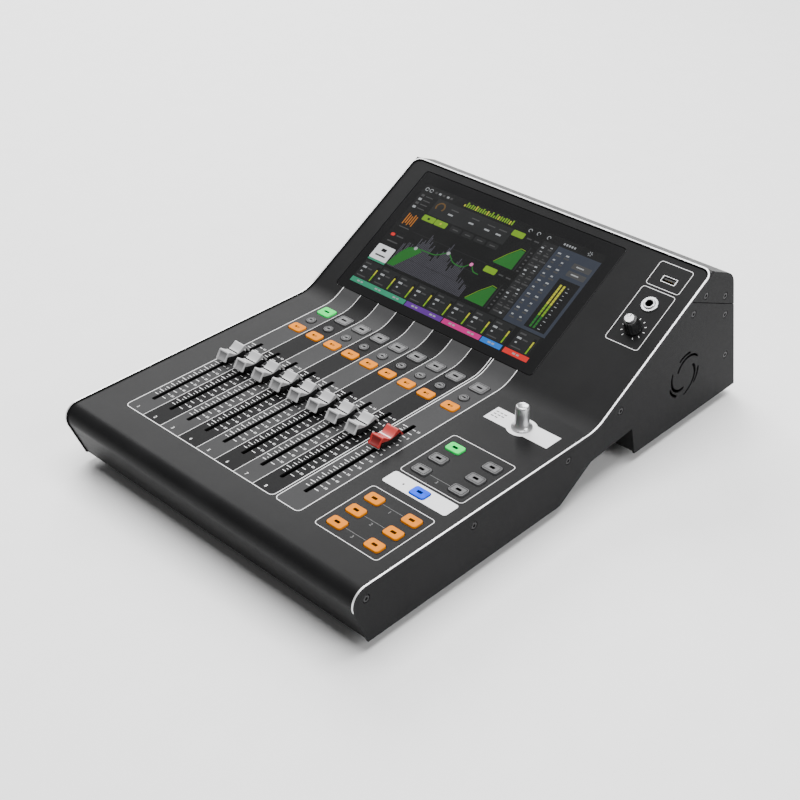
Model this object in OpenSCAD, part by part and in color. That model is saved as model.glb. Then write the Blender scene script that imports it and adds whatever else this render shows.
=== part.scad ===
// Compact digital mixing console: eight channel faders, one main fader and a tilted touch screen.
// Case frame used below: x across, y back from the nose, z up from the case's underside.

/* [Case] */
// Width over the side panels
case_w = 320; // [310:1:340]
// Depth, from the nose to the foot of the rear face
case_d = 455; // [450:1:462]
// Height of the side panels' rim over the deck, above the underside
rim_z = 49.8; // [49:0.1:52]
// How far the rim stands over the deck and the screen panel
rim_h = 0.9; // [0.6:0.1:1.2]
// Thickness of the side panels
side_t = 2; // [1.6:0.1:2.4]
// Thickness of the bent top panel, the base pan and the rear panel
sheet_t = 1.6; // [1.2:0.1:2]
// Where the screen panel starts to rise
bend_y = 258.2; // [256:0.1:260]
// Slope of the screen panel in degrees
tilt = 29.9; // [29:0.1:31]
// Length of the screen panel up its slope
slope_len = 162.6; // [161:0.1:164]
// Slope of the rear cover's top in degrees
cover_tilt = 23.2; // [22:0.1:25]
// Lean of the rear face in degrees
rear_lean = 12.2; // [11:0.1:13]
// Radius of the nose
nose_r = 12.2; // [11:0.1:13]
// Radius of the bend below the screen
bend_r = 37; // [30:1:42]
// Radius between the rear cover's top and the rear face
rear_r = 17; // [14:1:19]
// Height of the rubber feet
foot_h = 9.2; // [8:0.1:12]

/* [Faders] */
// Distance between channel strips
pitch = 21.24; // [21:0.01:21.4]
// Centre of the first channel's slot
first_slot_x = -118.8; // [-120:0.1:-118]
// Centre of the main fader's slot
main_slot_x = 55.3; // [55:0.1:56]
// Middle of the slots, back from the nose
slot_y = 112.3; // [111:0.1:113]
// Length of a slot
slot_len = 114; // [113:0.5:116]
// Width of a slot
slot_w = 3.4; // [3:0.1:4]
// Travel of a fader
fader_travel = 100; // [60:1:100]
// Where the faders are set, back from the nose
fader_y = 137.6; // [100:0.1:150]

/* [Keys] */
// Centre of the first strip's keys
first_key_x = -117; // [-117.5:0.1:-116]
// Centre of the main strip's keys
main_key_x = 57.2; // [56.5:0.1:58]
// Width of a key
key_w = 14; // [13:0.1:15]
// Depth of a key
key_d = 10.2; // [9:0.1:11]
// Depth of a SEL key
sel_d = 12.4; // [11:0.1:12.6]
// Diameter of a CUE key
cue_d = 8.6; // [8:0.1:9]
// How far a key stands over the deck
key_h = 1.2; // [1.1:0.1:2]
// Travel of a key
key_travel = 1; // [0.5:0.1:1]
// Gap around a key
key_gap = 0.4; // [0.35:0.05:0.5]

/* [Screen] */
// Width of the touch glass
glass_w = 221.4; // [218:0.1:222]
// Length of the touch glass up the slope
glass_len = 135.4; // [134:0.1:137]
// Middle of the glass across the case
glass_x = -28; // [-29:0.1:-27]
// Lower edge of the glass, up the slope from the bend
glass_low = 17; // [16:0.1:19]
// Thickness of the glass
glass_t = 1.8; // [1.5:0.1:2]

/* [Sockets] */
// Radius of a 6.35 mm jack socket
jack_r = 3.25; // [3.2:0.01:3.3]
// Distance between socket columns
xlr_pitch = 26.5; // [26:0.1:27]
// Radius of a microphone socket's barrel
xlr_r = 11; // [10.5:0.1:11.5]

/* [Hidden] */
$fn = 48;
arc_steps = 10;
channels = 8;
strips = channels + 1;
front_z = 2.9;
deck_z = rim_z - rim_h;
inner_w = case_w - 2 * side_t - 0.3;
wall_t = 1.2;
wall_x = case_w / 2 - side_t - 0.4;
tip_y = 13.5;
seam_y = 370;
seam_gap = 0.4;
cover_t = 2.2;
cover_drop = 1.6;
corner_r = 9;
rear_w = 84.8;

// Outline lines, walked with the inside on their left: [point, direction].
front_lean = atan((tip_y - nose_r) / (rim_z - nose_r))
    + asin(nose_r / norm([tip_y - nose_r, rim_z - nose_r]));
rim_top = [bend_y, rim_z] + slope_len * along(tilt);
floor_line = [[0, 0], 0];
grip_front = [[218, 0], 32];
grip_roof = [[254, 22.5], 5];
grip_back = [[312.5, 0], -76];
rear_line = [[case_d, 0], 90 + rear_lean];
cover_line = [rim_top - [0, cover_drop], 180 - cover_tilt];
rim_back = [rim_top, 90 + tilt];
screen_line = [[bend_y, rim_z], 180 + tilt];
deck_line = [[bend_y, rim_z], 180];
front_line = [[tip_y, 0], 270 + front_lean];

// Fader layout
slot_x = [for (i = [0:channels]) i < channels ? first_slot_x + i * pitch : main_slot_x];
key_x = [for (i = [0:channels]) i < channels ? first_key_x + i * pitch : main_key_x];
frame_hw = 7;
frame_len = fader_travel + 46;
frame_top = -2.4;
frame_floor = -23.4;
frame_t = 1.2;
rod_r = 1.5;
rod_x = 3.6;
rod_z = -17;
run_gap = 0.05;
carriage_hl = 9;

// Key rows and the columns at the right, case frame
sel_y = 241.4;
cue_y = 223;
on_y = 207;
side_keys_x = [97.9, 134.1];
user_y0 = 46.5;
bank_y0 = 131.4;
side_pitch = 18.3;
layer_pos = [116.1, 110.2];
knob_pos = [115.6, 223.4];
lip = 0.9;
lip_t = 0.8;
key_foot = -3;
board_t = 1.6;
board_z = -7.6;
switch_z = key_foot - key_travel - 0.15;

// Screen panel features: across, and up the slope from the bend
glass_gap = 0.4;
glass_r = 3;
usb_pos = [131.9, 140.3];
jack_pos = [131, 114.4];
level_pos = [132, 90];
jack_len = 24;

// Rear face features: across, and up the face
xlr_x0 = -141;
xlr_rows = [19.6, 44.4, 69.2];
xlr_flange = 24.2;
xlr_deep = 23;
inlet_pos = [128, 20];
rocker_pos = [93, 20];
lan_pos = [[76, 66], [97, 66], [118, 66]];
usb_b_pos = [139, 66];
fan_pos = [374, 45.5];
fan_r = 22;
fan_x = 155.4;
fan_t = 13;

screw_spots = [[12.7, 38.8], [119.4, 38.3], [225, 38.8], [288, 52.5], [376.4, 100.8],
    [424.7, 80.3], [433.6, 38.1], [392, 111], [421, 99]];

// ---- Geometry helpers ----

function along(a) = [cos(a), sin(a)];
function inward(a) = [-sin(a), cos(a)];
// A line moved inwards by d
function inset(l, d) = [l[0] + d * inward(l[1]), l[1]];
// The point where two lines, both moved inwards by d, cross
function meet(l, m, d) = let (p = inset(l, d), q = inset(m, d))
    p[0] + along(p[1]) * cross(q[0] - p[0], along(q[1])) / cross(along(p[1]), along(q[1]));
function arc(c, r, a0, a1) = [for (i = [0:arc_steps]) c + r * along(a0 + (a1 - a0) * i / arc_steps)];

// The case's outline seen from its right side, moved inwards by d
function outline_points(d) = concat(
    [meet(front_line, floor_line, d), meet(floor_line, grip_front, d), meet(grip_front, grip_roof, d),
        meet(grip_roof, grip_back, d), meet(grip_back, floor_line, d), meet(floor_line, rear_line, d)],
    arc(meet(rear_line, cover_line, rear_r), rear_r - d, rear_lean, 90 - cover_tilt),
    [meet(cover_line, rim_back, d), meet(rim_back, screen_line, d)],
    arc(meet(screen_line, deck_line, -bend_r), bend_r + d, 270 + tilt, 270),
    arc(meet(deck_line, front_line, nose_r), nose_r - d, 90, 180 + front_lean));

module outline(d) {
    polygon(outline_points(d));
}

module ring(d, t) {
    difference() {
        outline(d);
        outline(d + t);
    }
}

// Extrudes a side-view shape across the case, from x0 to x1
module across(x0, x1) {
    translate([x0, 0, 0]) rotate([90, 0, 90]) linear_extrude(x1 - x0) children();
}

// Everything is built in the case frame and moved once to the part's frame
module placed() {
    translate([0, -case_d / 2, foot_h]) children();
}

module on_deck(x, y) {
    translate([x, y, deck_z]) children();
}

// Screen panel frame: y up the slope from the bend, z out of the panel's surface
module on_screen(x, w) {
    bend = meet(screen_line, deck_line, rim_h);
    translate([0, bend[0], bend[1]]) rotate([tilt, 0, 0]) translate([x, w, 0]) children();
}

// Rear face frame: z up the face, y out of it
module on_rear(x, w) {
    translate([0, case_d, 0]) rotate([rear_lean, 0, 0]) translate([x, 0, w]) children();
}

// A flat rounded rectangle, centred
module rounded(w, l, r) {
    square([w - 2 * r, l], center = true);
    square([w, l - 2 * r], center = true);
    for (x = [-1, 1], y = [-1, 1])
        translate([x * (w / 2 - r), y * (l / 2 - r)]) circle(r);
}

module block(x0, x1, y0, y1, z0, z1) {
    translate([x0, y0, z0]) cube([x1 - x0, y1 - y0, z1 - z0]);
}

// Half-plane above the seam between the side panels and the rear cover
module above_seam(gap) {
    rise = tan(tilt) * (seam_y - bend_y);
    start = [seam_y, rim_z + rise + gap];
    end = start + 90 * along(-cover_tilt);
    polygon([start - 20 * along(-cover_tilt), end, end + [0, 90], start + [-20, 120]]);
}

// ---- Shell ----

module top_panel_shape() {
    bend = meet(screen_line, deck_line, rim_h);
    end = bend + (slope_len - 2.6) * along(tilt);
    intersection() {
        ring(rim_h, sheet_t);
        polygon([[-5, front_z], [40, front_z], [40, 30], [bend_y + 20, 30],
            end - 12 * inward(tilt), end + 5 * inward(tilt), [100, 150], [-5, 150]]);
    }
}

module key_hole(x, y, d) {
    on_deck(x, y) translate([0, 0, -5]) linear_extrude(10)
        rounded(key_w + 2 * key_gap, d + 2 * key_gap, 2.2);
}

module top_panel() {
    color([0.09, 0.09, 0.1]) placed() difference() {
        across(-inner_w / 2, inner_w / 2) top_panel_shape();
        for (x = slot_x)
            on_deck(x, slot_y) block(-slot_w / 2, slot_w / 2, -slot_len / 2, slot_len / 2, -5, 5);
        for (x = key_x) {
            key_hole(x, sel_y, sel_d);
            key_hole(x, on_y, key_d);
            on_deck(x, cue_y) cylinder(r = cue_d / 2 + key_gap, h = 10, center = true);
        }
        for (x = side_keys_x, i = [0:2]) {
            key_hole(x, user_y0 + i * side_pitch, key_d);
            key_hole(x, bank_y0 + i * side_pitch, key_d);
        }
        key_hole(layer_pos[0], layer_pos[1], key_d);
        on_deck(knob_pos[0], knob_pos[1]) cylinder(r = 4, h = 10, center = true);
        on_screen(glass_x, glass_low + glass_len / 2) translate([0, 0, -5]) linear_extrude(10)
            rounded(glass_w + 2 * glass_gap, glass_len + 2 * glass_gap, glass_r + glass_gap);
        on_screen(usb_pos[0], usb_pos[1]) block(-6.9, 6.9, -3.4, 3.4, -5, 5);
        on_screen(jack_pos[0], jack_pos[1]) cylinder(r = 4.9, h = 10, center = true);
        on_screen(level_pos[0], level_pos[1]) cylinder(r = 3.6, h = 10, center = true);
        panel_corners();
    }
}

// What is cut off the screen panel's two upper corners
module panel_corners() {
    r = corner_r - side_t + 0.2;
    for (x = [-1, 1]) on_screen(x * (inner_w / 2 - r), slope_len - 2.6 - r)
        translate([0, 0, -5]) linear_extrude(10) difference() {
            translate([x < 0 ? -r - 2 : 0, 0]) square(r + 2);
            circle(r);
        }
}

// One third of the swirl: a long slot and a short one outside it
module swirl_slot(r, w, a0, a1, shift) {
    translate(shift) intersection() {
        difference() {
            circle(r + w / 2);
            circle(r - w / 2);
        }
        polygon([[0, 0], 40 * along(a0), 48 * along((a0 + a1) / 2), 40 * along(a1)]);
    }
}

module swirl() {
    for (turn = [0:120:240]) rotate(turn) {
        swirl_slot(15.6, 2.2, 38, 150, [2.4, -2.6]);
        swirl_slot(19.4, 2, 76, 124, [0.4, 0.6]);
    }
}

module side_panel(x0) {
    placed() difference() {
        across(x0, x0 + side_t) difference() {
            outline(0);
            above_seam(-seam_gap / 2);
            translate(fan_pos) swirl();
        }
        for (s = screw_spots) translate([x0 + side_t / 2, s[0], s[1]])
            screw_hole(sign(x0));
    }
}

// Countersunk hole through a side panel, from the side given
module screw_hole(side) {
    rotate([0, 90 * side, 0]) {
        cylinder(r = 1.65, h = 20, center = true);
        translate([0, 0, side_t / 2 - 1.5]) cylinder(r1 = 1.65, r2 = 3.25, h = 1.51);
    }
}

module left_side_panel() {
    color([0.16, 0.16, 0.17]) side_panel(-case_w / 2);
}

module right_side_panel() {
    color([0.16, 0.16, 0.17]) side_panel(case_w / 2 - side_t);
}

// Side-view zone along the floor and around the carrying grip
module floor_zone(y0, y1, z1) {
    polygon([[y0, -5], [y1, -5], [y1, z1], [325, z1], [325, 36], [205, 36], [205, z1], [y0, z1]]);
}

// Floor with the grip's channel, and two inner walls that the side panels are screwed to
module base_pan() {
    color([0.2, 0.2, 0.21]) placed() difference() {
        union() {
            across(-wall_x, wall_x) intersection() {
                ring(rim_h, sheet_t);
                floor_zone(-5, case_d + 5, rim_h + sheet_t);
            }
            for (x = [-wall_x, wall_x - wall_t]) across(x, x + wall_t) difference() {
                union() {
                    outline(rim_h + cover_t + 0.3);
                    intersection() {
                        outline(rim_h + sheet_t - 0.1);
                        floor_zone(10, case_d - 15, 8);
                    }
                }
                translate(fan_pos) circle(fan_r + 1);
            }
        }
        for (x = [-1, 1], s = screw_spots) translate([x * wall_x, s[0], s[1]])
            rotate([0, 90, 0]) cylinder(r = 1.6, h = 8, center = true);
    }
}

module rear_panel() {
    color([0.12, 0.12, 0.13]) placed() difference() {
        on_rear(0, 0) block(-inner_w / 2, inner_w / 2, -rim_h - sheet_t, -rim_h, 3.2, rear_w);
        for (w = xlr_rows, i = [0:7]) on_rear(xlr_x0 + i * xlr_pitch, w) rotate([90, 0, 0])
            cylinder(r = xlr_r + 0.15, h = 20, center = true);
        on_rear(inlet_pos[0], inlet_pos[1]) block(-14.2, 14.2, -9, 9, -10.4, 10.4);
        on_rear(rocker_pos[0], rocker_pos[1]) block(-6.9, 6.9, -9, 9, -10.2, 10.2);
        for (p = lan_pos) on_rear(p[0], p[1]) block(-8.2, 8.2, -9, 9, -7.2, 7.2);
        on_rear(usb_b_pos[0], usb_b_pos[1]) block(-6.3, 6.3, -9, 9, -5.9, 5.9);
    }
}

module rear_top_cover() {
    color([0.3, 0.3, 0.32]) placed() difference() {
        across(-case_w / 2, case_w / 2) intersection() {
            outline(0);
            above_seam(seam_gap / 2);
        }
        // hollow inside, open downwards
        across(side_t - case_w / 2, case_w / 2 - side_t) outline(cover_t);
        // open over the screen panel, which leaves a rim around the panel's top
        on_screen(0, 0) translate([0, 0, -4]) linear_extrude(10)
            top_rounded(case_w / 2 - side_t, 0, slope_len - side_t, corner_r - side_t);
        // round corners on the rim
        on_screen(0, 0) translate([0, 0, -0.8]) linear_extrude(10) difference() {
            translate([-case_w, 100]) square(2 * case_w);
            top_rounded(case_w / 2 + 0.001, 0, slope_len + 0.001, corner_r);
        }
        for (x = [-1, 1], s = screw_spots)
            translate([x * (case_w / 2 - side_t / 2), s[0], s[1]]) screw_hole(x);
    }
}

// A rectangle from y0 to y1, its two upper corners rounded
module top_rounded(half, y0, y1, r) {
    translate([-half, y0]) square([2 * half, y1 - y0 - r]);
    translate([r - half, y0]) square([2 * (half - r), y1 - y0]);
    for (x = [-1, 1]) translate([x * (half - r), y1 - r]) circle(r);
}

module rubber_feet() {
    color([0.05, 0.05, 0.05]) placed() for (x = [-132, 132], y = [40, 428])
        translate([x, y, -foot_h]) cylinder(r1 = 9, r2 = 10, h = foot_h + rim_h);
}

// ---- Screen ----

module touch_glass() {
    color([0.02, 0.02, 0.03]) placed() on_screen(glass_x, glass_low + glass_len / 2)
        translate([0, 0, -glass_t - 0.05]) linear_extrude(glass_t) rounded(glass_w, glass_len, glass_r);
}

module display_module() {
    color([0.3, 0.3, 0.3]) placed() on_screen(glass_x, glass_low + glass_len / 2)
        translate([0, 0, -glass_t - 0.15]) {
            block(-glass_w / 2 - 3, glass_w / 2 + 3, -glass_len / 2 - 3, glass_len / 2 + 3, -1.5, 0);
            block(-103, 103, -60, 62, -9, -1.5);
        }
}

// ---- Fixings ----

module screw(side) {
    rotate([0, 90 * side, 0]) difference() {
        union() {
            translate([0, 0, -6]) cylinder(r = 1.5, h = 4.8);
            translate([0, 0, -1.45]) cylinder(r1 = 1.6, r2 = 3.1, h = 1.4);
        }
        translate([0, 0, -1.15]) cylinder(r = 1.2, h = 2, $fn = 6);
    }
}

module case_screws() {
    color([0.1, 0.1, 0.1]) placed() for (x = [-1, 1], s = screw_spots)
        translate([x * case_w / 2, s[0], s[1]]) screw(x);
}

// ---- Faders ----

module fader_frame(x) {
    on_deck(x, slot_y) {
        difference() {
            block(-frame_hw, frame_hw, -frame_len / 2, frame_len / 2, frame_floor, frame_top);
            block(-frame_hw + frame_t, frame_hw - frame_t, -frame_len / 2 + frame_t,
                frame_len / 2 - frame_t, frame_floor + frame_t, 5);
        }
        for (s = [-1, 1]) translate([s * rod_x, 0, rod_z]) rotate([90, 0, 0])
            cylinder(r = rod_r, h = frame_len - 2 * frame_t, center = true);
        // motor on the rear end
        translate([0, frame_len / 2, -16]) rotate([-90, 0, 0]) cylinder(r = 7, h = 19);
    }
}

module fader_frames() {
    color([0.7, 0.7, 0.72]) placed() for (x = slot_x) fader_frame(x);
}

// Cap seen from its side: two raised ends and a low middle line, arched underneath
module cap_profile() {
    half = [[0, 7.3], [7.4, 11.4], [8.6, 11.4], [13.35, 4.6], [12.9, 4], [11.7, 4.2], [9.9, 7.9],
        [1.6, 6], [0, 5.8]];
    polygon(concat(half, [for (i = [len(half) - 2:-1:1]) [-half[i][0], half[i][1]]]));
}

// Cap, lever and the carriage that runs on the two rods
module fader(i) {
    placed() on_deck(slot_x[i - 1], fader_y) {
        color(i > channels ? [0.75, 0.1, 0.1] : [0.75, 0.75, 0.76]) {
            across(-5.8, 5.8) cap_profile();
            block(-2.4, 2.4, -6, 6, 1, 6.2);
        }
        color([0.6, 0.6, 0.62]) {
            block(-0.6, 0.6, -4, 4, -14, 3);
            difference() {
                block(-5.4, 5.4, -carriage_hl, carriage_hl, -20.5, -13.5);
                for (s = [-1, 1]) translate([s * rod_x, 0, rod_z]) rotate([90, 0, 0])
                    cylinder(r = rod_r + run_gap, h = 40, center = true);
            }
        }
    }
}

// ---- Keys ----

// Key cap with a lip under the deck that keeps it in
module key(x, y, d) {
    placed() on_deck(x, y) {
        translate([0, 0, key_foot]) linear_extrude(key_h - key_foot) rounded(key_w, d, 1.8);
        translate([0, 0, key_foot]) linear_extrude(lip_t)
            rounded(key_w + 2 * lip, d + 2 * lip, 1.8);
    }
}

module sel_key(i) {
    color(i == 1 ? [0.4, 0.95, 0.55] : [0.4, 0.4, 0.42]) key(key_x[i - 1], sel_y, sel_d);
}

module on_key(i) {
    color([0.98, 0.65, 0.25]) key(key_x[i - 1], on_y, key_d);
}

module cue_keys() {
    color([0.4, 0.4, 0.42]) placed() for (x = key_x) on_deck(x, cue_y) translate([0, 0, key_foot]) {
        cylinder(r = cue_d / 2, h = key_h - key_foot);
        cylinder(r = cue_d / 2 + lip, h = lip_t);
    }
}

// Keys 1 to 3 are the left column from the back, 4 to 6 the right column
module side_key(i, y0) {
    key(side_keys_x[floor((i - 1) / 3)], y0 + side_pitch * (2 - (i - 1) % 3), key_d);
}

module user_key(i) {
    color([0.98, 0.65, 0.25]) side_key(i, user_y0);
}

module bank_key(i) {
    color(i == 1 ? [0.4, 0.95, 0.55] : [0.4, 0.4, 0.42]) side_key(i, bank_y0);
}

module layer_key() {
    color([0.35, 0.55, 1]) key(layer_pos[0], layer_pos[1], key_d);
}

// ---- Knobs ----

// Tall turning knob with a flared foot, its shaft running in the encoder's bore
module touch_turn_knob() {
    color([0.6, 0.6, 0.6]) placed() on_deck(knob_pos[0], knob_pos[1]) rotate_extrude()
        polygon([[0, -9.4], [3, -9.4], [3, 0.6], [8.4, 0.6], [8.4, 1.4], [6.6, 2.6], [5.6, 4.6],
            [5.5, 18.2], [4.6, 20], [0, 20]]);
}

module phones_knob() {
    color([0.06, 0.06, 0.06]) placed() on_screen(level_pos[0], level_pos[1]) rotate_extrude()
        polygon([[0, -8], [3, -8], [3, 0.6], [7.2, 0.6], [6.4, 12.6], [5, 13], [4.8, 15], [0, 15]]);
}

// ---- Electronics ----

module switch_block(x, y) {
    on_deck(x, y) block(-3, 3, -3, 3, board_z + board_t, switch_z);
}

module circuit_boards() {
    color([0.1, 0.35, 0.2]) placed() {
        // board under the strip keys, with the encoder at its right end
        difference() {
            union() {
                on_deck(0, 0) block(-130, 140, 198, 248, board_z, board_z + board_t);
                on_deck(knob_pos[0], knob_pos[1]) block(-6.2, 6.2, -6.2, 6.2, -11, -2.2);
                for (x = key_x, y = [sel_y, cue_y, on_y]) switch_block(x, y);
            }
            on_deck(knob_pos[0], knob_pos[1]) cylinder(r = 3 + run_gap, h = 60, center = true);
        }
        // board under the right-hand keys
        on_deck(0, 0) block(82, 150, 34, 180, board_z, board_z + board_t);
        for (x = side_keys_x, i = [0:2], y = [user_y0, bank_y0]) switch_block(x, y + i * side_pitch);
        switch_block(layer_pos[0], layer_pos[1]);
        // main board on its posts, with its cooler
        block(-150, 54, 322, 404, 14, 14 + board_t);
        for (x = [-144, 48], y = [328, 398]) translate([x, y, 2.5]) cylinder(r = 3, h = 11.5);
        block(-60, -20, 345, 385, 14 + board_t, 27);
        // socket board, parallel to the rear face
        on_rear(0, 0) block(-154, 57, -27.2, -25.6, 9.5, 83);
        // level control under the screen panel
        difference() {
            on_screen(level_pos[0], level_pos[1]) block(-7, 7, -7, 7, -9, -2.2);
            on_screen(level_pos[0], level_pos[1]) cylinder(r = 3 + run_gap, h = 60, center = true);
        }
    }
}

// ---- Sockets ----

// Square flange and round barrel; inputs have three contact holes
module xlr_input(combo) {
    rotate([-90, 0, 0]) difference() {
        union() {
            translate([0, 0, -rim_h + 0.05]) linear_extrude(1.1) rounded(xlr_flange, xlr_flange, 2);
            translate([0, 0, -xlr_deep - rim_h]) cylinder(r = xlr_r, h = xlr_deep + 1.2);
        }
        for (a = [30, 150, 270]) rotate(a) translate([6.6, 0, -14]) cylinder(r = 1.5, h = 20);
        if (combo) translate([0, 0, -xlr_deep - 5]) cylinder(r = jack_r, h = 40);
    }
}

// Outputs are open cups
module xlr_output() {
    rotate([-90, 0, 0]) difference() {
        union() {
            translate([0, 0, -rim_h + 0.05]) linear_extrude(1.1) rounded(xlr_flange, xlr_flange, 2);
            translate([0, 0, -xlr_deep - rim_h]) cylinder(r = xlr_r, h = xlr_deep + 1.2);
        }
        translate([0, 0, -15]) cylinder(r = 9.2, h = 30);
    }
}

// Plain shell with an open mouth, for network and USB sockets
module port(w, h, mouth_w, mouth_h) {
    difference() {
        block(-w / 2, w / 2, -16, -rim_h + 0.4, -h / 2, h / 2);
        block(-mouth_w / 2, mouth_w / 2, -13, 5, -mouth_h / 2, mouth_h / 2);
    }
}

module sockets() {
    color([0.25, 0.25, 0.26]) placed() {
        for (i = [0:7]) {
            on_rear(xlr_x0 + i * xlr_pitch, xlr_rows[0]) xlr_output();
            on_rear(xlr_x0 + i * xlr_pitch, xlr_rows[1]) xlr_input(i > 3);
            on_rear(xlr_x0 + i * xlr_pitch, xlr_rows[2]) xlr_input(false);
        }
        for (p = lan_pos) on_rear(p[0], p[1]) port(16, 14, 11.8, 8.4);
        on_rear(usb_b_pos[0], usb_b_pos[1]) port(12.2, 11.4, 8.6, 7.8);
        on_screen(usb_pos[0], usb_pos[1]) rotate([-90, 0, 0]) usb_a_shell();
        on_screen(jack_pos[0], jack_pos[1]) difference() {
            union() {
                translate([0, 0, -jack_len]) cylinder(r = 6.4, h = jack_len - sheet_t - 0.2);
                translate([0, 0, -jack_len]) cylinder(r = 4.7, h = jack_len + 2.4);
                cylinder(r = 7, h = 1.1);
            }
            translate([0, 0, -jack_len - 5]) cylinder(r = jack_r, h = 60);
        }
    }
}

// Its mouth opens along -y, the way the rear ports' mouths open along +y
module usb_a_shell() {
    difference() {
        block(-6.7, 6.7, 0, 15, -3.2, 3.2);
        block(-6.1, 6.1, -5, 13, -2.6, 2.6);
    }
}

// ---- Power and cooling ----

module power_supply() {
    color([0.6, 0.6, 0.62]) placed() {
        block(62, 137, 326, 404, 2.5, 42);
        // mains inlet, with its flange outside the rear panel
        on_rear(inlet_pos[0], inlet_pos[1]) difference() {
            union() {
                block(-14, 14, -24, 0.5, -10.2, 10.2);
                block(-18, 18, -rim_h + 0.05, 1.2, -12.6, 12.6);
            }
            block(-12, 12, -18, 5, -8, 8);
        }
        // frame of the power switch
        on_rear(rocker_pos[0], rocker_pos[1]) difference() {
            union() {
                block(-6.7, 6.7, -18, 0.5, -10, 10);
                block(-8.5, 8.5, -rim_h + 0.05, 0.9, -12, 12);
            }
            block(-5.2, 5.2, -13, 5, -8.4, 8.4);
            translate([0, -4, 0]) rotate([0, 90, 0]) cylinder(r = 1 + run_gap, h = 12.6, center = true);
        }
    }
}

module power_rocker() {
    color([0.08, 0.08, 0.08]) placed() on_rear(rocker_pos[0], rocker_pos[1]) translate([0, -4, 0]) {
        across(-4.8, 4.8) polygon([[-4, 0], [-1, -7.4], [3.4, -7.6], [4.6, 0], [6.2, 6.6], [3, 7.4]]);
        rotate([0, 90, 0]) cylinder(r = 1, h = 12.2, center = true);
    }
}

module fan_frame() {
    color([0.1, 0.1, 0.1]) placed() translate([fan_x, fan_pos[0], fan_pos[1]]) {
        difference() {
            block(-fan_t, 0, -25, 25, -25, 25);
            rotate([0, 90, 0]) cylinder(r = fan_r + 1, h = 60, center = true);
        }
        // spider and bearing pin at the inner side
        for (a = [45:90:315]) rotate([a, 0, 0]) block(-fan_t, -fan_t + 2, 6, fan_r + 1.6, -1, 1);
        translate([-fan_t, 0, 0]) rotate([0, 90, 0]) cylinder(r = 8, h = 2);
        translate([-fan_t, 0, 0]) rotate([0, 90, 0]) cylinder(r = 1.5, h = 9);
    }
}

module fan_rotor() {
    blades = 7;
    color([0.15, 0.15, 0.15]) placed() translate([fan_x - fan_t, fan_pos[0], fan_pos[1]]) {
        difference() {
            union() {
                translate([2.5, 0, 0]) rotate([0, 90, 0]) cylinder(r = 9, h = 9);
                intersection() {
                    for (i = [1:blades]) rotate([i * 360 / blades, 0, 0]) translate([6.8, 0, 14])
                        rotate([0, 0, 50]) cube([9, 1, 17], center = true);
                    translate([2.5, 0, 0]) rotate([0, 90, 0]) cylinder(r = fan_r, h = 9);
                }
            }
            rotate([0, 90, 0]) cylinder(r = 1.5 + run_gap, h = 10);
        }
    }
}

// ---- Parts ----

top_panel();
left_side_panel();
right_side_panel();
base_pan();
rear_panel();
rear_top_cover();
touch_glass();
display_module();
rubber_feet();
case_screws();
fader_frames();
circuit_boards();
sockets();
power_supply();
fan_frame();
for (i = [1:strips]) {
    fader(i);
    sel_key(i);
    on_key(i);
}
cue_keys();
for (i = [1:6]) {
    user_key(i);
    bank_key(i);
}
layer_key();
touch_turn_knob();
phones_knob();
power_rocker();
fan_rotor();
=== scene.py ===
"""Looks of a compact digital mixing console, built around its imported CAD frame.

Lengths are in millimetres in the case frame: x across, y back from the nose, z up from the case's
underside. part() turns them into the frame's metres.
"""
import math
import bmesh
import bpy
from mathutils import Matrix, Vector
from mathutils.geometry import delaunay_2d_cdt


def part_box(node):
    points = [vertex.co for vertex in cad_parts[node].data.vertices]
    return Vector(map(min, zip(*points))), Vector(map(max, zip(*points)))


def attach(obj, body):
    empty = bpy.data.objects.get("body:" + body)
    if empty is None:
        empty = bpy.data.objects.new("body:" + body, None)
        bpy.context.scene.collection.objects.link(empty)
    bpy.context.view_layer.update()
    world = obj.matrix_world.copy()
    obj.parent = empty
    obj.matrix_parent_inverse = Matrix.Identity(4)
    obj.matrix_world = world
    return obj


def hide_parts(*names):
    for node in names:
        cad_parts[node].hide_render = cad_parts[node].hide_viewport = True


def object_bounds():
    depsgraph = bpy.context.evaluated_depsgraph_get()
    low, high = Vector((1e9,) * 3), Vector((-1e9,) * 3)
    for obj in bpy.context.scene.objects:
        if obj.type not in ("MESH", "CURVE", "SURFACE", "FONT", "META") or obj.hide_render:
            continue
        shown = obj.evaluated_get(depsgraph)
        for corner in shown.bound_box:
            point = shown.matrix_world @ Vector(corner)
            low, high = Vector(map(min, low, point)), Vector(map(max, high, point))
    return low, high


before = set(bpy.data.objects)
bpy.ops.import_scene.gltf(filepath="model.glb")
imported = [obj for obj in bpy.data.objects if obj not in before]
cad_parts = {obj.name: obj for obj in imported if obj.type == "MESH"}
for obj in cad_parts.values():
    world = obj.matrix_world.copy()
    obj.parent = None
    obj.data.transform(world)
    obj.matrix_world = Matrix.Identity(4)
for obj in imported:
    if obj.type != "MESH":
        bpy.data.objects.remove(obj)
cad_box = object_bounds()

# ---- Sizes of the case ----

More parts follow.
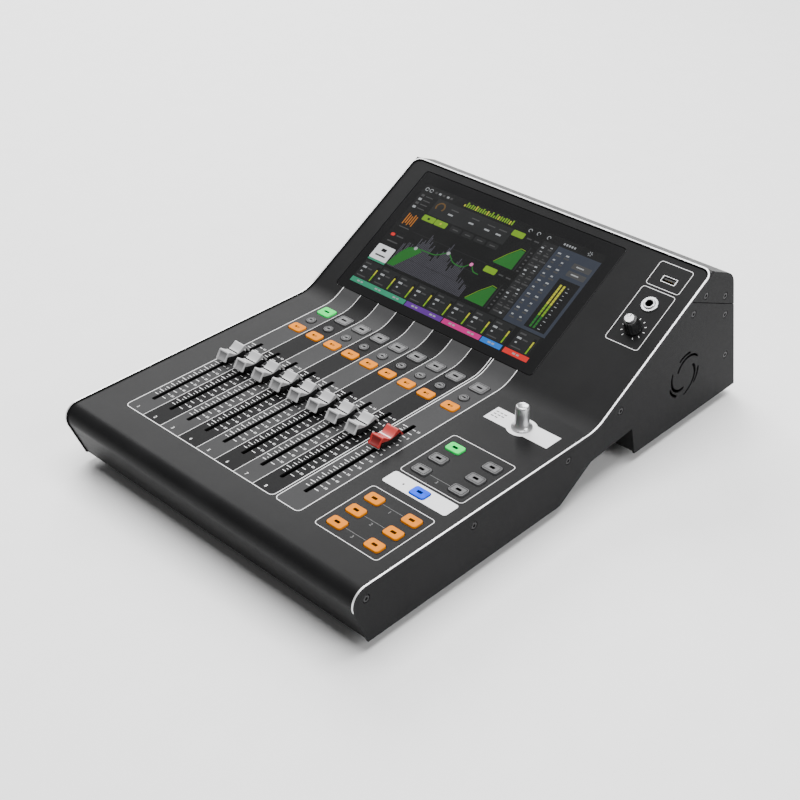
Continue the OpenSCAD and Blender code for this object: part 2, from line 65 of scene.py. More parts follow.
MM = 0.001
CASE_W = (cad_box[1][0] - cad_box[0][0]) / MM
CASE_D = round((cad_box[1][1] - cad_box[0][1]) / MM, 1)
FOOT_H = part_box("right_side_panel")[0].z / MM
HALF_W = CASE_W / 2
RIM_Z = 49.8
RIM_H = 0.9
DECK_Z = RIM_Z - RIM_H
SIDE_T = 2.0
SHEET_T = 1.6
COVER_T = 2.2
BEND_Y = 258.2
TILT = 29.9
SLOPE_LEN = 162.6
COVER_TILT = 23.2
COVER_DROP = 1.6
REAR_LEAN = 12.2
NOSE_R = 12.2
BEND_R = 37.0
REAR_R = 17.0
TIP_Y = 13.5
FRONT_Z = 2.9
SEAM_Y = 370.0
SEAM_GAP = 0.4
CORNER_R = 9.0
INNER_W = CASE_W - 2 * SIDE_T - 0.3
ARC_STEP = 3.0

# ---- Layout of the deck and the screen panel ----

STRIPS = 9
STRIP_LEFT = -128.2
STRIP_PITCH = 21.27
STRIP_FRONT = 36.0
STRIP_CORNER_R = 4.0
MAIN_LEFT = 44.4
MAIN_RIGHT = 69.2
SLOT_W = 3.4
SLOT_LEN = 114.0
SLOT_Y = 112.3
KEY_GAP = 0.4
KEY_LIP = 0.9
KEY_R = 2.4
KEY_TOP = 1.2
GLASS_LOW = 17.0
GLASS_GAP = 0.4
USB_POS = (131.9, 140.3)
JACK_POS = (131.0, 114.4)
LEVEL_POS = (132.0, 90.0)
FAN_POS = (374.0, 45.5)


# ---- Plane geometry ----

def along(angle):
    """Unit vector at an angle in degrees"""
    return Vector((math.cos(math.radians(angle)), math.sin(math.radians(angle))))


def meet(line_a, line_b, inset):
    """Where two lines (point, direction), both moved inwards, cross"""
    (p, a), (q, b) = [(Vector(pt) + inset * along(ang + 90), along(ang)) for pt, ang in (line_a, line_b)]
    gap = q - p
    return p + a * (gap.x * b.y - gap.y * b.x) / (a.x * b.y - a.y * b.x)


def arc(centre, r, a0, a1, step=ARC_STEP):
    n = max(2, round(abs(a1 - a0) / step))
    return [Vector(centre) + r * along(a0 + (a1 - a0) * i / n) for i in range(n + 1)]


def grow(points, d):
    """Moves a closed counter-clockwise loop outwards by d, with mitred corners"""
    out = []
    for i, p in enumerate(points):
        a = (p - points[i - 1]).normalized()
        b = (points[(i + 1) % len(points)] - p).normalized()
        na, nb = Vector((a.y, -a.x)), Vector((b.y, -b.x))
        out.append(p + (na + nb) * d / max(0.3, 1 + na.dot(nb)))
    return out


def rounded(x0, x1, y0, y1, r, step=15):
    """Rounded rectangle, as a function of how far it is grown"""
    def loop(g=0.0):
        rr = max(r + g, 0.02)
        corners = [(x1 + g, y0 - g, -90, -1, 1), (x1 + g, y1 + g, 0, -1, -1),
                   (x0 - g, y1 + g, 90, 1, -1), (x0 - g, y0 - g, 180, 1, 1)]
        pts = []
        for cx, cy, a, sx, sy in corners:
            pts += arc((cx + sx * rr, cy + sy * rr), rr, a, a + 90, step)
        return pts
    return loop


def circle(cx, cy, r, n=40):
    return lambda g=0.0: [Vector((cx, cy)) + (r + g) * along(360 * i / n) for i in range(n)]


def outline_of(points):
    pts = [Vector(p) for p in points]
    return lambda g=0.0: grow(pts, g)


def inside(p, loop):
    """Whether a point is inside a closed loop"""
    hit = False
    for i, b in enumerate(loop):
        a = loop[i - 1]
        if (a[1] > p[1]) != (b[1] > p[1]):
            if p[0] < a[0] + (p[1] - a[1]) * (b[0] - a[0]) / (b[1] - a[1]):
                hit = not hit
    return hit


def fill(outer, holes, lines=()):
    """Triangles of a plane face with holes; lines are extra edges that it keeps"""
    pts, edges = [], []
    for loop in [outer] + list(holes):
        n, k = len(pts), len(loop)
        pts += [Vector(p) for p in loop]
        edges += [(n + i, n + (i + 1) % k) for i in range(k)]
    for line in lines:
        n = len(pts)
        pts += [Vector(p) for p in line]
        edges += [(n + i, n + i + 1) for i in range(len(line) - 1)]
    verts, _, tris = delaunay_2d_cdt(pts, edges, [], 0, 1e-4, False)[:3]
    boxes = [(min(p[0] for p in h), max(p[0] for p in h), min(p[1] for p in h), max(p[1] for p in h), h)
             for h in holes]
    kept = []
    for tri in tris:
        c = sum((verts[i] for i in tri), Vector((0, 0))) / 3
        if not inside(c, outer):
            continue
        if any(x0 < c.x < x1 and y0 < c.y < y1 and inside(c, h) for x0, x1, y0, y1, h in boxes):
            continue
        kept.append(tuple(tri))
    return verts, kept


# ---- Outline of the case, seen from its right side ----

FRONT_LEAN = (math.degrees(math.atan((TIP_Y - NOSE_R) / (RIM_Z - NOSE_R))
              + math.asin(NOSE_R / math.hypot(TIP_Y - NOSE_R, RIM_Z - NOSE_R))))
RIM_TOP = Vector((BEND_Y, RIM_Z)) + SLOPE_LEN * along(TILT)
FLOOR_LINE = ((0, 0), 0)
GRIP_FRONT = ((218, 0), 32)
GRIP_ROOF = ((254, 22.5), 5)
GRIP_BACK = ((312.5, 0), -76)
REAR_LINE = ((CASE_D, 0), 90 + REAR_LEAN)
COVER_LINE = (RIM_TOP - Vector((0, COVER_DROP)), 180 - COVER_TILT)
RIM_BACK = (RIM_TOP, 90 + TILT)
SCREEN_LINE = ((BEND_Y, RIM_Z), 180 + TILT)
DECK_LINE = ((BEND_Y, RIM_Z), 180)
FRONT_LINE = ((TIP_Y, 0), 270 + FRONT_LEAN)
PANEL_BEND = meet(SCREEN_LINE, DECK_LINE, RIM_H)


def underside(d):
    """The case's lower corners, from front to rear, moved inwards by d"""
    lines = [FRONT_LINE, FLOOR_LINE, GRIP_FRONT, GRIP_ROOF, GRIP_BACK, FLOOR_LINE, REAR_LINE]
    return [meet(a, b, d) for a, b in zip(lines, lines[1:])]


def case_outline(d):
    pts = underside(d)
    pts += arc(meet(REAR_LINE, COVER_LINE, REAR_R), REAR_R - d, REAR_LEAN, 90 - COVER_TILT)
    pts += [meet(COVER_LINE, RIM_BACK, d), meet(RIM_BACK, SCREEN_LINE, d)]
    pts += arc(meet(SCREEN_LINE, DECK_LINE, -BEND_R), BEND_R + d, 270 + TILT, 270)
    pts += arc(meet(DECK_LINE, FRONT_LINE, NOSE_R), NOSE_R - d, 90, 180 + FRONT_LEAN)
    return pts


# ---- Places: functions from plane coordinates and height to a point in metres ----

def part(x, y, z):
    return Vector((x, y - CASE_D / 2, z + FOOT_H)) * MM


def on_deck(x, y, h):
    return part(x, y, DECK_Z + h)


def on_screen(x, w, h):
    """w runs up the screen panel from the bend, h out of it"""
    p = PANEL_BEND + w * along(TILT) + h * along(TILT + 90)
    return part(x, p.x, p.y)


def on_rear(x, w, h):
    """w runs up the rear face, h out of it"""
    p = Vector((CASE_D, 0)) + w * along(90 + REAR_LEAN) + h * along(REAR_LEAN)
    return part(x, p.x, p.y)


def on_side(side):
    return lambda y, z, h: part(side * (HALF_W + h), y, z)


NOSE_C = meet(DECK_LINE, FRONT_LINE, NOSE_R)
PANEL_NOSE_R = NOSE_R - RIM_H
PANEL_BEND_R = BEND_R + RIM_H
BEND_TANGENT = PANEL_BEND_R * math.tan(math.radians(TILT / 2))
BEND_START = PANEL_BEND.x - BEND_TANGENT
BEND_ARC = PANEL_BEND_R * math.radians(TILT)
NOSE_TURN = 90 + FRONT_LEAN
NOSE_ARC = PANEL_NOSE_R * math.radians(NOSE_TURN)


def screen_s(w):
    """Sheet coordinate of a point w up the screen panel"""
    return BEND_START + BEND_ARC + w - BEND_TANGENT


def on_sheet(x, s, h):
    """The bent top panel: s is y on the deck and goes on round the nose and up the screen panel"""
    if s > BEND_START + BEND_ARC:
        return on_screen(x, s - screen_s(0), h)
    if s > BEND_START:
        turn = math.degrees((s - BEND_START) / PANEL_BEND_R)
        p = Vector((BEND_START, DECK_Z + PANEL_BEND_R)) + (PANEL_BEND_R - h) * along(270 + turn)
        return part(x, p.x, p.y)
    if s > NOSE_C.x:
        return on_deck(x, s, h)
    turn = min(math.degrees((NOSE_C.x - s) / PANEL_NOSE_R), NOSE_TURN)
    p = NOSE_C + (PANEL_NOSE_R + h) * along(90 + turn)
    p += max(0, NOSE_C.x - NOSE_ARC - s) * along(180 + turn)
    return part(x, p.x, p.y)


def bend_cuts(s0, s1):
    """Sheet coordinates at which a face is split so that it follows the bends"""
    cuts = [NOSE_C.x - PANEL_NOSE_R * math.radians(a) for a in frange(0, NOSE_TURN, 2 * ARC_STEP)]
    cuts += [BEND_START + PANEL_BEND_R * math.radians(a) for a in frange(0, TILT, ARC_STEP / 2)]
    return sorted(s for s in cuts if s0 + 0.05 < s < s1 - 0.05)


def frange(a, b, step):
    n = max(1, round((b - a) / step))
    return [a + (b - a) * i / n for i in range(n + 1)]


# ---- Mesh builders ----

def make(name, bm, material, slot=None, replaces=(), body="console", sharp=32):
    """Turns a bmesh into a finished piece that rides on a body; material may be a list"""
    bmesh.ops.remove_doubles(bm, verts=bm.verts, dist=1e-6)
    bmesh.ops.recalc_face_normals(bm, faces=bm.faces)
    mesh = bpy.data.meshes.new(name)
    bm.to_mesh(mesh)
    bm.free()
    for m in material if isinstance(material, (list, tuple)) else [material]:
        mesh.materials.append(m)
    mesh.shade_smooth()
    mesh.set_sharp_from_angle(angle=math.radians(sharp))
    obj = bpy.data.objects.new(name, mesh)
    bpy.context.scene.collection.objects.link(obj)
    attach(obj, body)
    if replaces:
        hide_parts(*replaces)
    return obj


def add_plate(bm, place, outer, holes=(), t=SHEET_T, c=0.2, lines=(), paint=None, edge=None, edge_t=None, top=0.0):
    """Adds a plate t thick with its upper face at height top, chamfered all round, and its holes' walls.

    paint(x, y) gives a top triangle's material index, and edge(x, y) that of the outer wall's first edge_t.
    """
    loops = [[f(-c), f(0), f(0), f(0)] for f in [outer]] + [[f(c), f(0), f(0), f(0)] for f in holes]
    heights = [top, top - c, top - (edge_t or (c + t) / 2), top - t]
    for level, flip in ((0, False), (3, True)):
        verts, tris = fill(loops[0][level], [l[level] for l in loops[1:]], lines)
        used = {i: bm.verts.new(place(verts[i].x, verts[i].y, heights[level]))
                for i in sorted({i for tri in tris for i in tri})}
        for tri in tris:
            face = bm.faces.new([used[i] for i in (tri[::-1] if flip else tri)])
            if paint and not flip:
                c3 = sum((verts[i] for i in tri), Vector((0, 0))) / 3
                face.material_index = paint(c3.x, c3.y)
    for loop in loops:
        rings = [[bm.verts.new(place(p.x, p.y, h)) for p in ring] for ring, h in zip(loop, heights)]
        wall = [edge(p.x, p.y) if edge and loop is loops[0] else 0 for p in loop[1]]
        if c > 0:
            add_band(bm, rings[0], rings[1], wall)
        add_band(bm, rings[1], rings[2], wall)
        add_band(bm, rings[2], rings[3], 0 if edge_t else wall)
    return bm


def add_band(bm, a, b, material=0):
    for i in range(len(a)):
        face = bm.faces.new((a[i - 1], a[i], b[i], b[i - 1]))
        face.material_index = material[i] if isinstance(material, list) else material


def add_loft(bm, rings, cap0=True, cap1=True, material=0):
    """Adds a skin through rings of equally many points, with its ends closed"""
    made = [[bm.verts.new(p) for p in ring] for ring in rings]
    for a, b in zip(made, made[1:]):
        add_band(bm, a, b, material)
    for ring, wanted in ((made[0], cap0), (made[-1], cap1)):
        if wanted:
            face = bm.faces.new(ring)
            face.material_index = material
            bmesh.ops.triangulate(bm, faces=[face])
    return bm


def add_lathe(bm, place, cx, cy, profile, n=48, shape=None):
    """Turns a profile of (radius, height); shape(angle, height) scales the radius"""
    rings = []
    for r, h in profile:
        ring = []
        for i in range(n):
            a = 360 * i / n
            p = Vector((cx, cy)) + max(r, 0.01) * (shape(a, h) if shape else 1) * along(a)
            ring.append(place(p.x, p.y, h))
        rings.append(ring)
    return add_loft(bm, rings)


def add_stack(bm, place, loop, steps):
    """A solid of one loop at several (growth, height) steps"""
    rings = [[place(p.x, p.y, h) for p in loop(g)] for g, h in steps]
    return add_loft(bm, rings)


def add_box(bm, place, x0, x1, y0, y1, z0, z1, r=0.3, c=0.15):
    """A block with rounded upright edges and chamfered top and bottom"""
    steps = [(-c, z0), (0, z0 + c), (0, z1 - c), (-c, z1)]
    return add_stack(bm, place, rounded(x0, x1, y0, y1, r, 30), steps)


def add_block(bm, place, x, y, hw, hh, z0, z1, r=0.3, c=0.15):
    """The same by its middle and half sizes"""
    return add_box(bm, place, x - hw, x + hw, y - hh, y + hh, z0, z1, r, c)


# ---- Ink: thin closed prisms printed on a surface ----

class Ink:
    """Collects printed shapes of one colour, from height low to high, and makes them one piece"""

    def __init__(self, place, low=-0.03, high=0.03, follow=False):
        """follow splits lines at the bends of the top panel"""
        self.bm, self.place = bmesh.new(), place
        self.low, self.high, self.follow = low, high, follow

    def fill(self, loop, holes=()):
        add_plate(self.bm, self.place, outline_of(loop), [outline_of(h) for h in holes],
                  t=self.high - self.low, c=0, top=self.high)

    def rect(self, x0, x1, y0, y1, r=0.0):
        self.fill(rounded(x0, x1, y0, y1, r, 30)() if r else
                  [Vector(p) for p in ((x0, y0), (x1, y0), (x1, y1), (x0, y1))])

    def ribbon(self, points, width, closed=False):
        """A line of even width through points"""
        pts = [Vector(p) for p in points]
        if self.follow:
            pts = split_at_bends(pts)
        n = len(pts)
        sides = ([], [])
        for i, p in enumerate(pts):
            a = p - pts[i - 1] if i or closed else pts[1] - p
            b = pts[(i + 1) % n] - p if i < n - 1 or closed else a
            na, nb = [Vector((-v.y, v.x)).normalized() for v in (a, b)]
            m = (na + nb) * (width / 2) / max(0.3, 1 + na.dot(nb))
            sides[0].append(p + m)
            sides[1].append(p - m)
        rings = [[self.place(q.x, q.y, h) for q, h in
                  ((s0, self.low), (s0, self.high), (s1, self.high), (s1, self.low))]
                 for s0, s1 in zip(*sides)]
        if closed:
            rings.append(rings[0])
        add_loft(self.bm, rings, cap0=not closed, cap1=not closed)

    def outline(self, loop, width):
        self.ribbon(loop(0), width, closed=True)

    def text(self, string, x, y, size):
        """Numbers, centred on (x, y)"""
        data = bpy.data.curves.new("figure", "FONT")
        data.body = string
        data.size = size
        data.resolution_u = 2
        data.extrude = 0.5
        data.align_x = "CENTER"
        data.align_y = "CENTER"
        obj = bpy.data.objects.new("figure", data)
        mesh = bpy.data.meshes.new_from_object(obj)
        verts = [self.bm.verts.new(self.place(x + v.co.x, y + v.co.y, self.high if v.co.z > 0 else self.low))
                 for v in mesh.vertices]
        for f in mesh.polygons:
            try:
                self.bm.faces.new([verts[i] for i in f.vertices])
            except ValueError:
                continue
        bpy.data.objects.remove(obj)
        bpy.data.curves.remove(data)
        bpy.data.meshes.remove(mesh)

    def done(self, name, material, slot=None, body="console"):
        return make(name, self.bm, material, slot, body=body)


def split_at_bends(pts):
    """Adds points where a line on the top panel crosses a bend"""
    out = [pts[0]]
    for a, b in zip(pts, pts[1:]):
        cuts = bend_cuts(min(a.y, b.y), max(a.y, b.y)) if abs(b.y - a.y) > 2 else []
        for s in cuts if b.y > a.y else cuts[::-1]:
            out.append(a.lerp(b, (s - a.y) / (b.y - a.y)))
        out.append(b)
    return out


# ---- Materials ----

def finish(name, colour, rough, vary=0.12, metal=0.0, grain=900.0, bump=0.04, fleck=None,
           specular=0.5, glow=0.0, self_lit=False, stretch=(1, 1, 1), mottle=30.0):
    """Procedural finish: uneven colour and roughness, a fine surface grain and optional flecks"""
    mat = bpy.data.materials.new(name)
    mat.use_nodes = True
    nodes, links = mat.node_tree.nodes, mat.node_tree.links
    shader = nodes["Principled BSDF"]
    shader.inputs["Metallic"].default_value = metal
    shader.inputs["Specular IOR Level"].default_value = specular
    coords = nodes.new("ShaderNodeTexCoord")
    scale = nodes.new("ShaderNodeMapping")
    scale.inputs["Scale"].default_value = stretch
    links.new(coords.outputs["Object"], scale.inputs["Vector"])

    def noise(size, detail=3.0):
        node = nodes.new("ShaderNodeTexNoise")
        node.inputs["Scale"].default_value = size
        node.inputs["Detail"].default_value = detail
        links.new(scale.outputs["Vector"], node.inputs["Vector"])
        return node.outputs["Fac"]

    def ramp(source, lo, hi, at=(0.3, 0.7)):
        node = nodes.new("ShaderNodeValToRGB")
        for stop, value, pos in zip(node.color_ramp.elements, (lo, hi), at):
            stop.position = pos
            stop.color = (*value, 1) if len(value) == 3 else value
        links.new(source, node.inputs["Fac"])
        return node.outputs["Color"]

    dark = tuple(c * (1 - vary) for c in colour)
    light = tuple(min(1, c * (1 + vary)) for c in colour)
    tint = ramp(noise(mottle), dark, light)
    if fleck:
        mix = nodes.new("ShaderNodeMix")
        mix.data_type = "RGBA"
        spots = ramp(noise(grain * 1.7, 2.0), (0, 0, 0), (1, 1, 1), (0.52, 0.66))
        links.new(spots, mix.inputs["Factor"])
        links.new(tint, mix.inputs["A"])
        mix.inputs["B"].default_value = (*fleck, 1)
        tint = mix.outputs["Result"]
    if self_lit:
        shader.inputs["Base Color"].default_value = (0.003, 0.003, 0.003, 1)
    else:
        links.new(tint, shader.inputs["Base Color"])
    if glow:
        links.new(tint, shader.inputs["Emission Color"])
        shader.inputs["Emission Strength"].default_value = glow
    spread = nodes.new("ShaderNodeMapRange")
    spread.inputs["To Min"].default_value = rough * 0.88
    spread.inputs["To Max"].default_value = min(1, rough * 1.12)
    links.new(noise(grain / 6), spread.inputs["Value"])
    links.new(spread.outputs["Result"], shader.inputs["Roughness"])
    bumps = nodes.new("ShaderNodeBump")
    bumps.inputs["Strength"].default_value = bump
    bumps.inputs["Distance"].default_value = 0.0002
    links.new(noise(grain, 4.0), bumps.inputs["Height"])
    links.new(bumps.outputs["Normal"], shader.inputs["Normal"])
    return mat


DECK = finish("deck_paint", (0.0082, 0.0082, 0.0085), 0.40, grain=2600, bump=0.05, specular=0.05)
STRIP_LIGHT = finish("strip_light", (0.036, 0.036, 0.0368), 0.42, vary=0.06, grain=2600, bump=0.05, specular=0.02)
STRIP_DARK = finish("strip_dark", (0.0085, 0.0085, 0.0088), 0.42, vary=0.06, grain=2600, bump=0.05, specular=0.02)
SIDE = finish("side_paint", (0.0068, 0.0068, 0.0071), 0.5, grain=1500, bump=0.35, fleck=(0.030, 0.030, 0.032),
              specular=0.05)
# the cover's top skin: a lighter and far glossier copy of the side paint, as painted sheen of the grazing light on it
COVER_SHEEN = finish("cover_paint_sheen", (0.012, 0.012, 0.0125), 0.42, grain=1500, bump=0.3, fleck=(0.035, 0.035, 0.037),
               specular=0.5)
RIM = finish("rim_metal", (0.78, 0.78, 0.79), 0.36, metal=0.5, grain=1800, bump=0.03)
BLACK_PAINT = finish("black_paint", (0.006, 0.006, 0.0063), 0.48, grain=1500, bump=0.2, specular=0.12)
GLASS = finish("screen_glass", (0.0075, 0.0075, 0.0078), 0.16, vary=0.05, grain=200, bump=0.0, specular=0.10)
INK_WHITE = finish("ink_white", (0.70, 0.70, 0.70), 0.5, vary=0.04)
INK_GREY = finish("ink_grey", (0.09, 0.09, 0.092), 0.5, vary=0.06)
INK_SILVER = finish("ink_silver", (0.62, 0.62, 0.63), 0.42, vary=0.03, grain=3000)
INK_DARK = finish("ink_dark", (0.010, 0.009, 0.008), 0.5, vary=0.05, specular=0.2)
RUBBER = finish("rubber", (0.012, 0.012, 0.012), 0.75, grain=1400, bump=0.25)
STEEL_BLACK = finish("steel_black", (0.02, 0.02, 0.021), 0.34, metal=0.7, grain=1200, bump=0.1)
STEEL = finish("steel", (0.58, 0.58, 0.59), 0.32, metal=1.0, grain=700, bump=0.06, stretch=(1, 6, 1))
SATIN_METAL = finish("satin_metal", (0.52, 0.52, 0.53), 0.30, metal=0.85, grain=900, bump=0.05, stretch=(1, 1, 9))
BRASS = finish("contact_gold", (0.72, 0.48, 0.16), 0.28, metal=1.0, grain=1500, bump=0.03)
PLASTIC_BLACK = finish("plastic_black", (0.005, 0.005, 0.0055), 0.42, grain=2200, bump=0.08, specular=0.35)
# near-black with no gloss: painted shade on the side panels' seam edge, and the black print line on the grey fader
# caps
SEAM_SHADE_AND_LINE_BLACK = finish("seam_shade_and_line_black", (0.002, 0.002, 0.002), 0.8, specular=0.0)
BOARD = finish("circuit_board", (0.012, 0.08, 0.04), 0.38, vary=0.3, grain=500, bump=0.2, mottle=200)
CAP_GREY = finish("cap_grey", (0.36, 0.36, 0.365), 0.36, vary=0.04, grain=2500, bump=0.04)
# darker copies of the cap colours for the dish on each cap's end: painted shade in the hollow
CAP_DISH_SHADE = finish("cap_dish_shade", (0.17, 0.17, 0.173), 0.44, vary=0.05, grain=2500, bump=0.06)
CAP_RED = finish("cap_red", (0.36, 0.022, 0.020), 0.38, vary=0.06, grain=2500, bump=0.04)
CAP_RED_DISH_SHADE = finish("cap_red_dish_shade", (0.15, 0.010, 0.010), 0.42, vary=0.06, grain=2500, bump=0.06)
KEY_GREY = finish("key_grey", (0.060, 0.060, 0.062), 0.55, vary=0.25, grain=1500, bump=0.06, mottle=260)


def key_light(name, colour, vary, glow):
    return finish(name, colour, 0.55, vary=vary, grain=1500, bump=0.05, specular=0.05, glow=glow, mottle=260)


KEY_ORANGE = key_light("key_orange", (0.56, 0.165, 0.0004), 0.08, 0.2)
KEY_GREEN = key_light("key_green", (0.002, 0.56, 0.090), 0.1, 0.25)
KEY_BLUE = key_light("key_blue", (0.006, 0.060, 0.66), 0.15, 0.25)


# ---- Reading places from the frame ----

def case_box(node):
    """A CAD node's box in case millimetres: (x0, x1, y0, y1, z0, z1)"""
    lo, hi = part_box(node)
    shift = (0, CASE_D / 2, -FOOT_H)
    return [v for i in range(3) for v in (lo[i] / MM + shift[i], hi[i] / MM + shift[i])]


def key_loop(node):
    """A key's outline on the deck, without the lip under it"""
    x0, x1, y0, y1 = case_box(node)[:4]
    return rounded(x0 + KEY_LIP, x1 - KEY_LIP, y0 + KEY_LIP, y1 - KEY_LIP, KEY_R, 18)


def centre(node):
    x0, x1, y0, y1 = case_box(node)[:4]
    return (x0 + x1) / 2, (y0 + y1) / 2


RECT_KEYS = ([f"{row}_key_{i}" for row in ("sel", "on") for i in range(1, STRIPS + 1)]
             + [f"{group}_key_{i}" for group in ("user", "bank") for i in range(1, 7)] + ["layer_key"])
CUE_X = [centre(f"sel_key_{i}")[0] for i in range(1, STRIPS + 1)]
CUE_Y = centre("cue_keys")[1]
CUE_R = (case_box("cue_keys")[3] - case_box("cue_keys")[2]) / 2 - KEY_LIP
SLOT_X = [centre(f"fader_{i}")[0] for i in range(1, STRIPS + 1)]
KNOB = centre("touch_turn_knob")
GLASS_X0, GLASS_X1 = case_box("touch_glass")[:2]
GLASS_TOP = GLASS_LOW + 135.4
SHEET_TOP = screen_s(SLOPE_LEN - 2.6)
NOSE_END = NOSE_C + PANEL_NOSE_R * along(90 + NOSE_TURN)
SHEET_FRONT = NOSE_C.x - NOSE_ARC - (NOSE_END.y - FRONT_Z) / math.cos(math.radians(FRONT_LEAN))
STRIP_TOP = screen_s(GLASS_LOW - GLASS_GAP)
STRIP_RIGHT = STRIP_LEFT + (STRIPS - 1) * STRIP_PITCH


# ---- Top panel with its printing ----

def sheet_loop(x0, x1, s0, s1, r):
    """Rectangle on the bent sheet with points at every bend line and round rear corners"""
    def loop(g=0.0):
        cuts = [s for s in bend_cuts(SHEET_FRONT, SHEET_TOP) if s0 - g < s < s1 + g - r - 1]
        right = [Vector((x1 + g, s)) for s in [s0 - g] + cuts]
        left = [Vector((x0 - g, s)) for s in cuts[::-1] + [s0 - g]]
        top = arc((x1 - r, s1 - r), r + g, 0, 90, 10) + arc((x0 + r, s1 - r), r + g, 90, 180, 10)
        return right + top + left
    return loop


def strip_line(x0, x1):
    """Printed outline of a group of strips, open at the screen"""
    y, r = STRIP_FRONT, STRIP_CORNER_R
    return ([Vector((x0, STRIP_TOP))] + arc((x0 + r, y + r), r, 180, 270, 15)
            + arc((x1 - r, y + r), r, 270, 360, 15) + [Vector((x1, STRIP_TOP))])


def strip_paint(x, s):
    """Material index of the deck at a point: strips are light and dark in turn"""
    if s < STRIP_FRONT or s > STRIP_TOP:
        return 0
    if MAIN_LEFT < x < MAIN_RIGHT:
        return 1
    if STRIP_LEFT < x < STRIP_RIGHT:
        return 1 + int((x - STRIP_LEFT) / STRIP_PITCH) % 2
    return 0


def deck_holes():
    holes = [rounded(x - SLOT_W / 2, x + SLOT_W / 2, SLOT_Y - SLOT_LEN / 2, SLOT_Y + SLOT_LEN / 2, 0.8, 30)
             for x in SLOT_X]
    holes += [lambda g, k=key_loop(n): k(g + KEY_GAP) for n in RECT_KEYS]
    holes += [circle(x, CUE_Y, CUE_R + KEY_GAP, 32) for x in CUE_X]
    holes += [circle(*KNOB, 4.0, 32)]
    holes += [rounded(GLASS_X0 - GLASS_GAP, GLASS_X1 + GLASS_GAP, STRIP_TOP, screen_s(GLASS_TOP + GLASS_GAP), 3.4)]
    x, w = USB_POS
    holes += [rounded(x - 6.9, x + 6.9, screen_s(w - 3.4), screen_s(w + 3.4), 0.4, 30)]
    holes += [circle(x, screen_s(w), r, 40) for (x, w), r in ((JACK_POS, 4.9), (LEVEL_POS, 3.6))]
    return holes


def make_top_panel():
    half = INNER_W / 2
    cuts = [[(-half - 1, s), (half + 1, s)] for s in bend_cuts(SHEET_FRONT, SHEET_TOP)]
    dividers = [[(STRIP_LEFT + i * STRIP_PITCH, STRIP_FRONT), (STRIP_LEFT + i * STRIP_PITCH, STRIP_TOP - 0.3)]
                for i in range(1, STRIPS - 1)]
    outlines = [strip_line(STRIP_LEFT, STRIP_RIGHT), strip_line(MAIN_LEFT, MAIN_RIGHT)]
    for line in outlines:
        for end in (line[0], line[-1]):
            end.y = STRIP_TOP - 0.3
    bm = bmesh.new()
    add_plate(bm, on_sheet, sheet_loop(-half, half, SHEET_FRONT, SHEET_TOP, 7.2), deck_holes(), c=0.18,
              lines=cuts + dividers + outlines, paint=strip_paint)
    make("deck_sheet", bm, [DECK, STRIP_LIGHT, STRIP_DARK], "deck_paint", ["top_panel"])


# printed frames and bands: (x0, x1, y0, y1)
USER_FRAME = (85.2, 146, 121.3, 181.2)
BANK_FRAME = (85.3, 146.3, 35.8, 94.6)
LAYER_BAND = (84.8, 146.8, 102.8, 118.5)
USB_FRAME = (115.4, 146.6, 131, 154.6)
PHONES_FRAME = (115.4, 146.6, 73.4, 128.2)
KNOB_BAND_X = (84.7, 146.7)
KNOB_BAND_HALF = 9.0
KNOB_RING_R = 12.2
LINE_W = 0.5
TICK = 0.28
UNDER = 0.02
SCALE_ROWS = [62.5 + 5.66 * i for i in range(19)]
SCALE_FIGURES = {1: "50", 3: "40", 5: "30", 7: "20", 9: "10", 11: "5", 14: "0", 16: "5", 18: "10"}


def print_strips():
    ink = Ink(on_sheet, follow=True)
    ink.ribbon(strip_line(STRIP_LEFT, STRIP_RIGHT), 0.6)
    ink.ribbon(strip_line(MAIN_LEFT, MAIN_RIGHT), 0.6)
    ink.done("strip_outlines", INK_WHITE, "deck_paint")
    ink = Ink(on_sheet, high=UNDER, follow=True)
    for i in range(1, STRIPS - 1):
        x = STRIP_LEFT + i * STRIP_PITCH
        ink.ribbon([(x, STRIP_FRONT), (x, STRIP_TOP)], 0.4)
    ink.done("strip_dividers", INK_WHITE, "deck_paint")
    ink = Ink(on_deck)
    for x in SLOT_X:
        for i, y in enumerate(SCALE_ROWS):
            figure = SCALE_FIGURES.get(i)
            ink.rect(x - (7.6 if figure else 6.2), x - 2.6, y - TICK, y + TICK)
            ink.rect(x + 2.6, x + (5.4 if figure else 6.6), y - TICK, y + TICK)
            if i:
                ink.rect(x - 4.6, x - 2.8, y - 3.0, y - 2.66)
            if figure:
                ink.text(figure, x + 8.1, y, 3.0)
    ink.done("fader_scales", INK_WHITE, "deck_paint")
    ink = Ink(on_deck)
    for i, x in enumerate(SLOT_X[:-1]):
        ink.text(str(i + 1), x, 41.0, 4.2)
    ink.done("strip_numbers", INK_WHITE, "deck_paint")


def knob_band():
    """Outline of the silver band, round the touch-and-turn knob in its middle"""
    x, y = KNOB
    x0, x1 = KNOB_BAND_X
    half, reach = KNOB_BAND_HALF, math.degrees(math.asin(KNOB_BAND_HALF / KNOB_RING_R))
    return ([Vector((x0, y - half))] + arc((x, y), KNOB_RING_R, 180 + reach, 360 - reach, 8)
            + [Vector((x1, y - half)), Vector((x1, y + half))]
            + arc((x, y), KNOB_RING_R, reach, 180 - reach, 8) + [Vector((x0, y + half))])


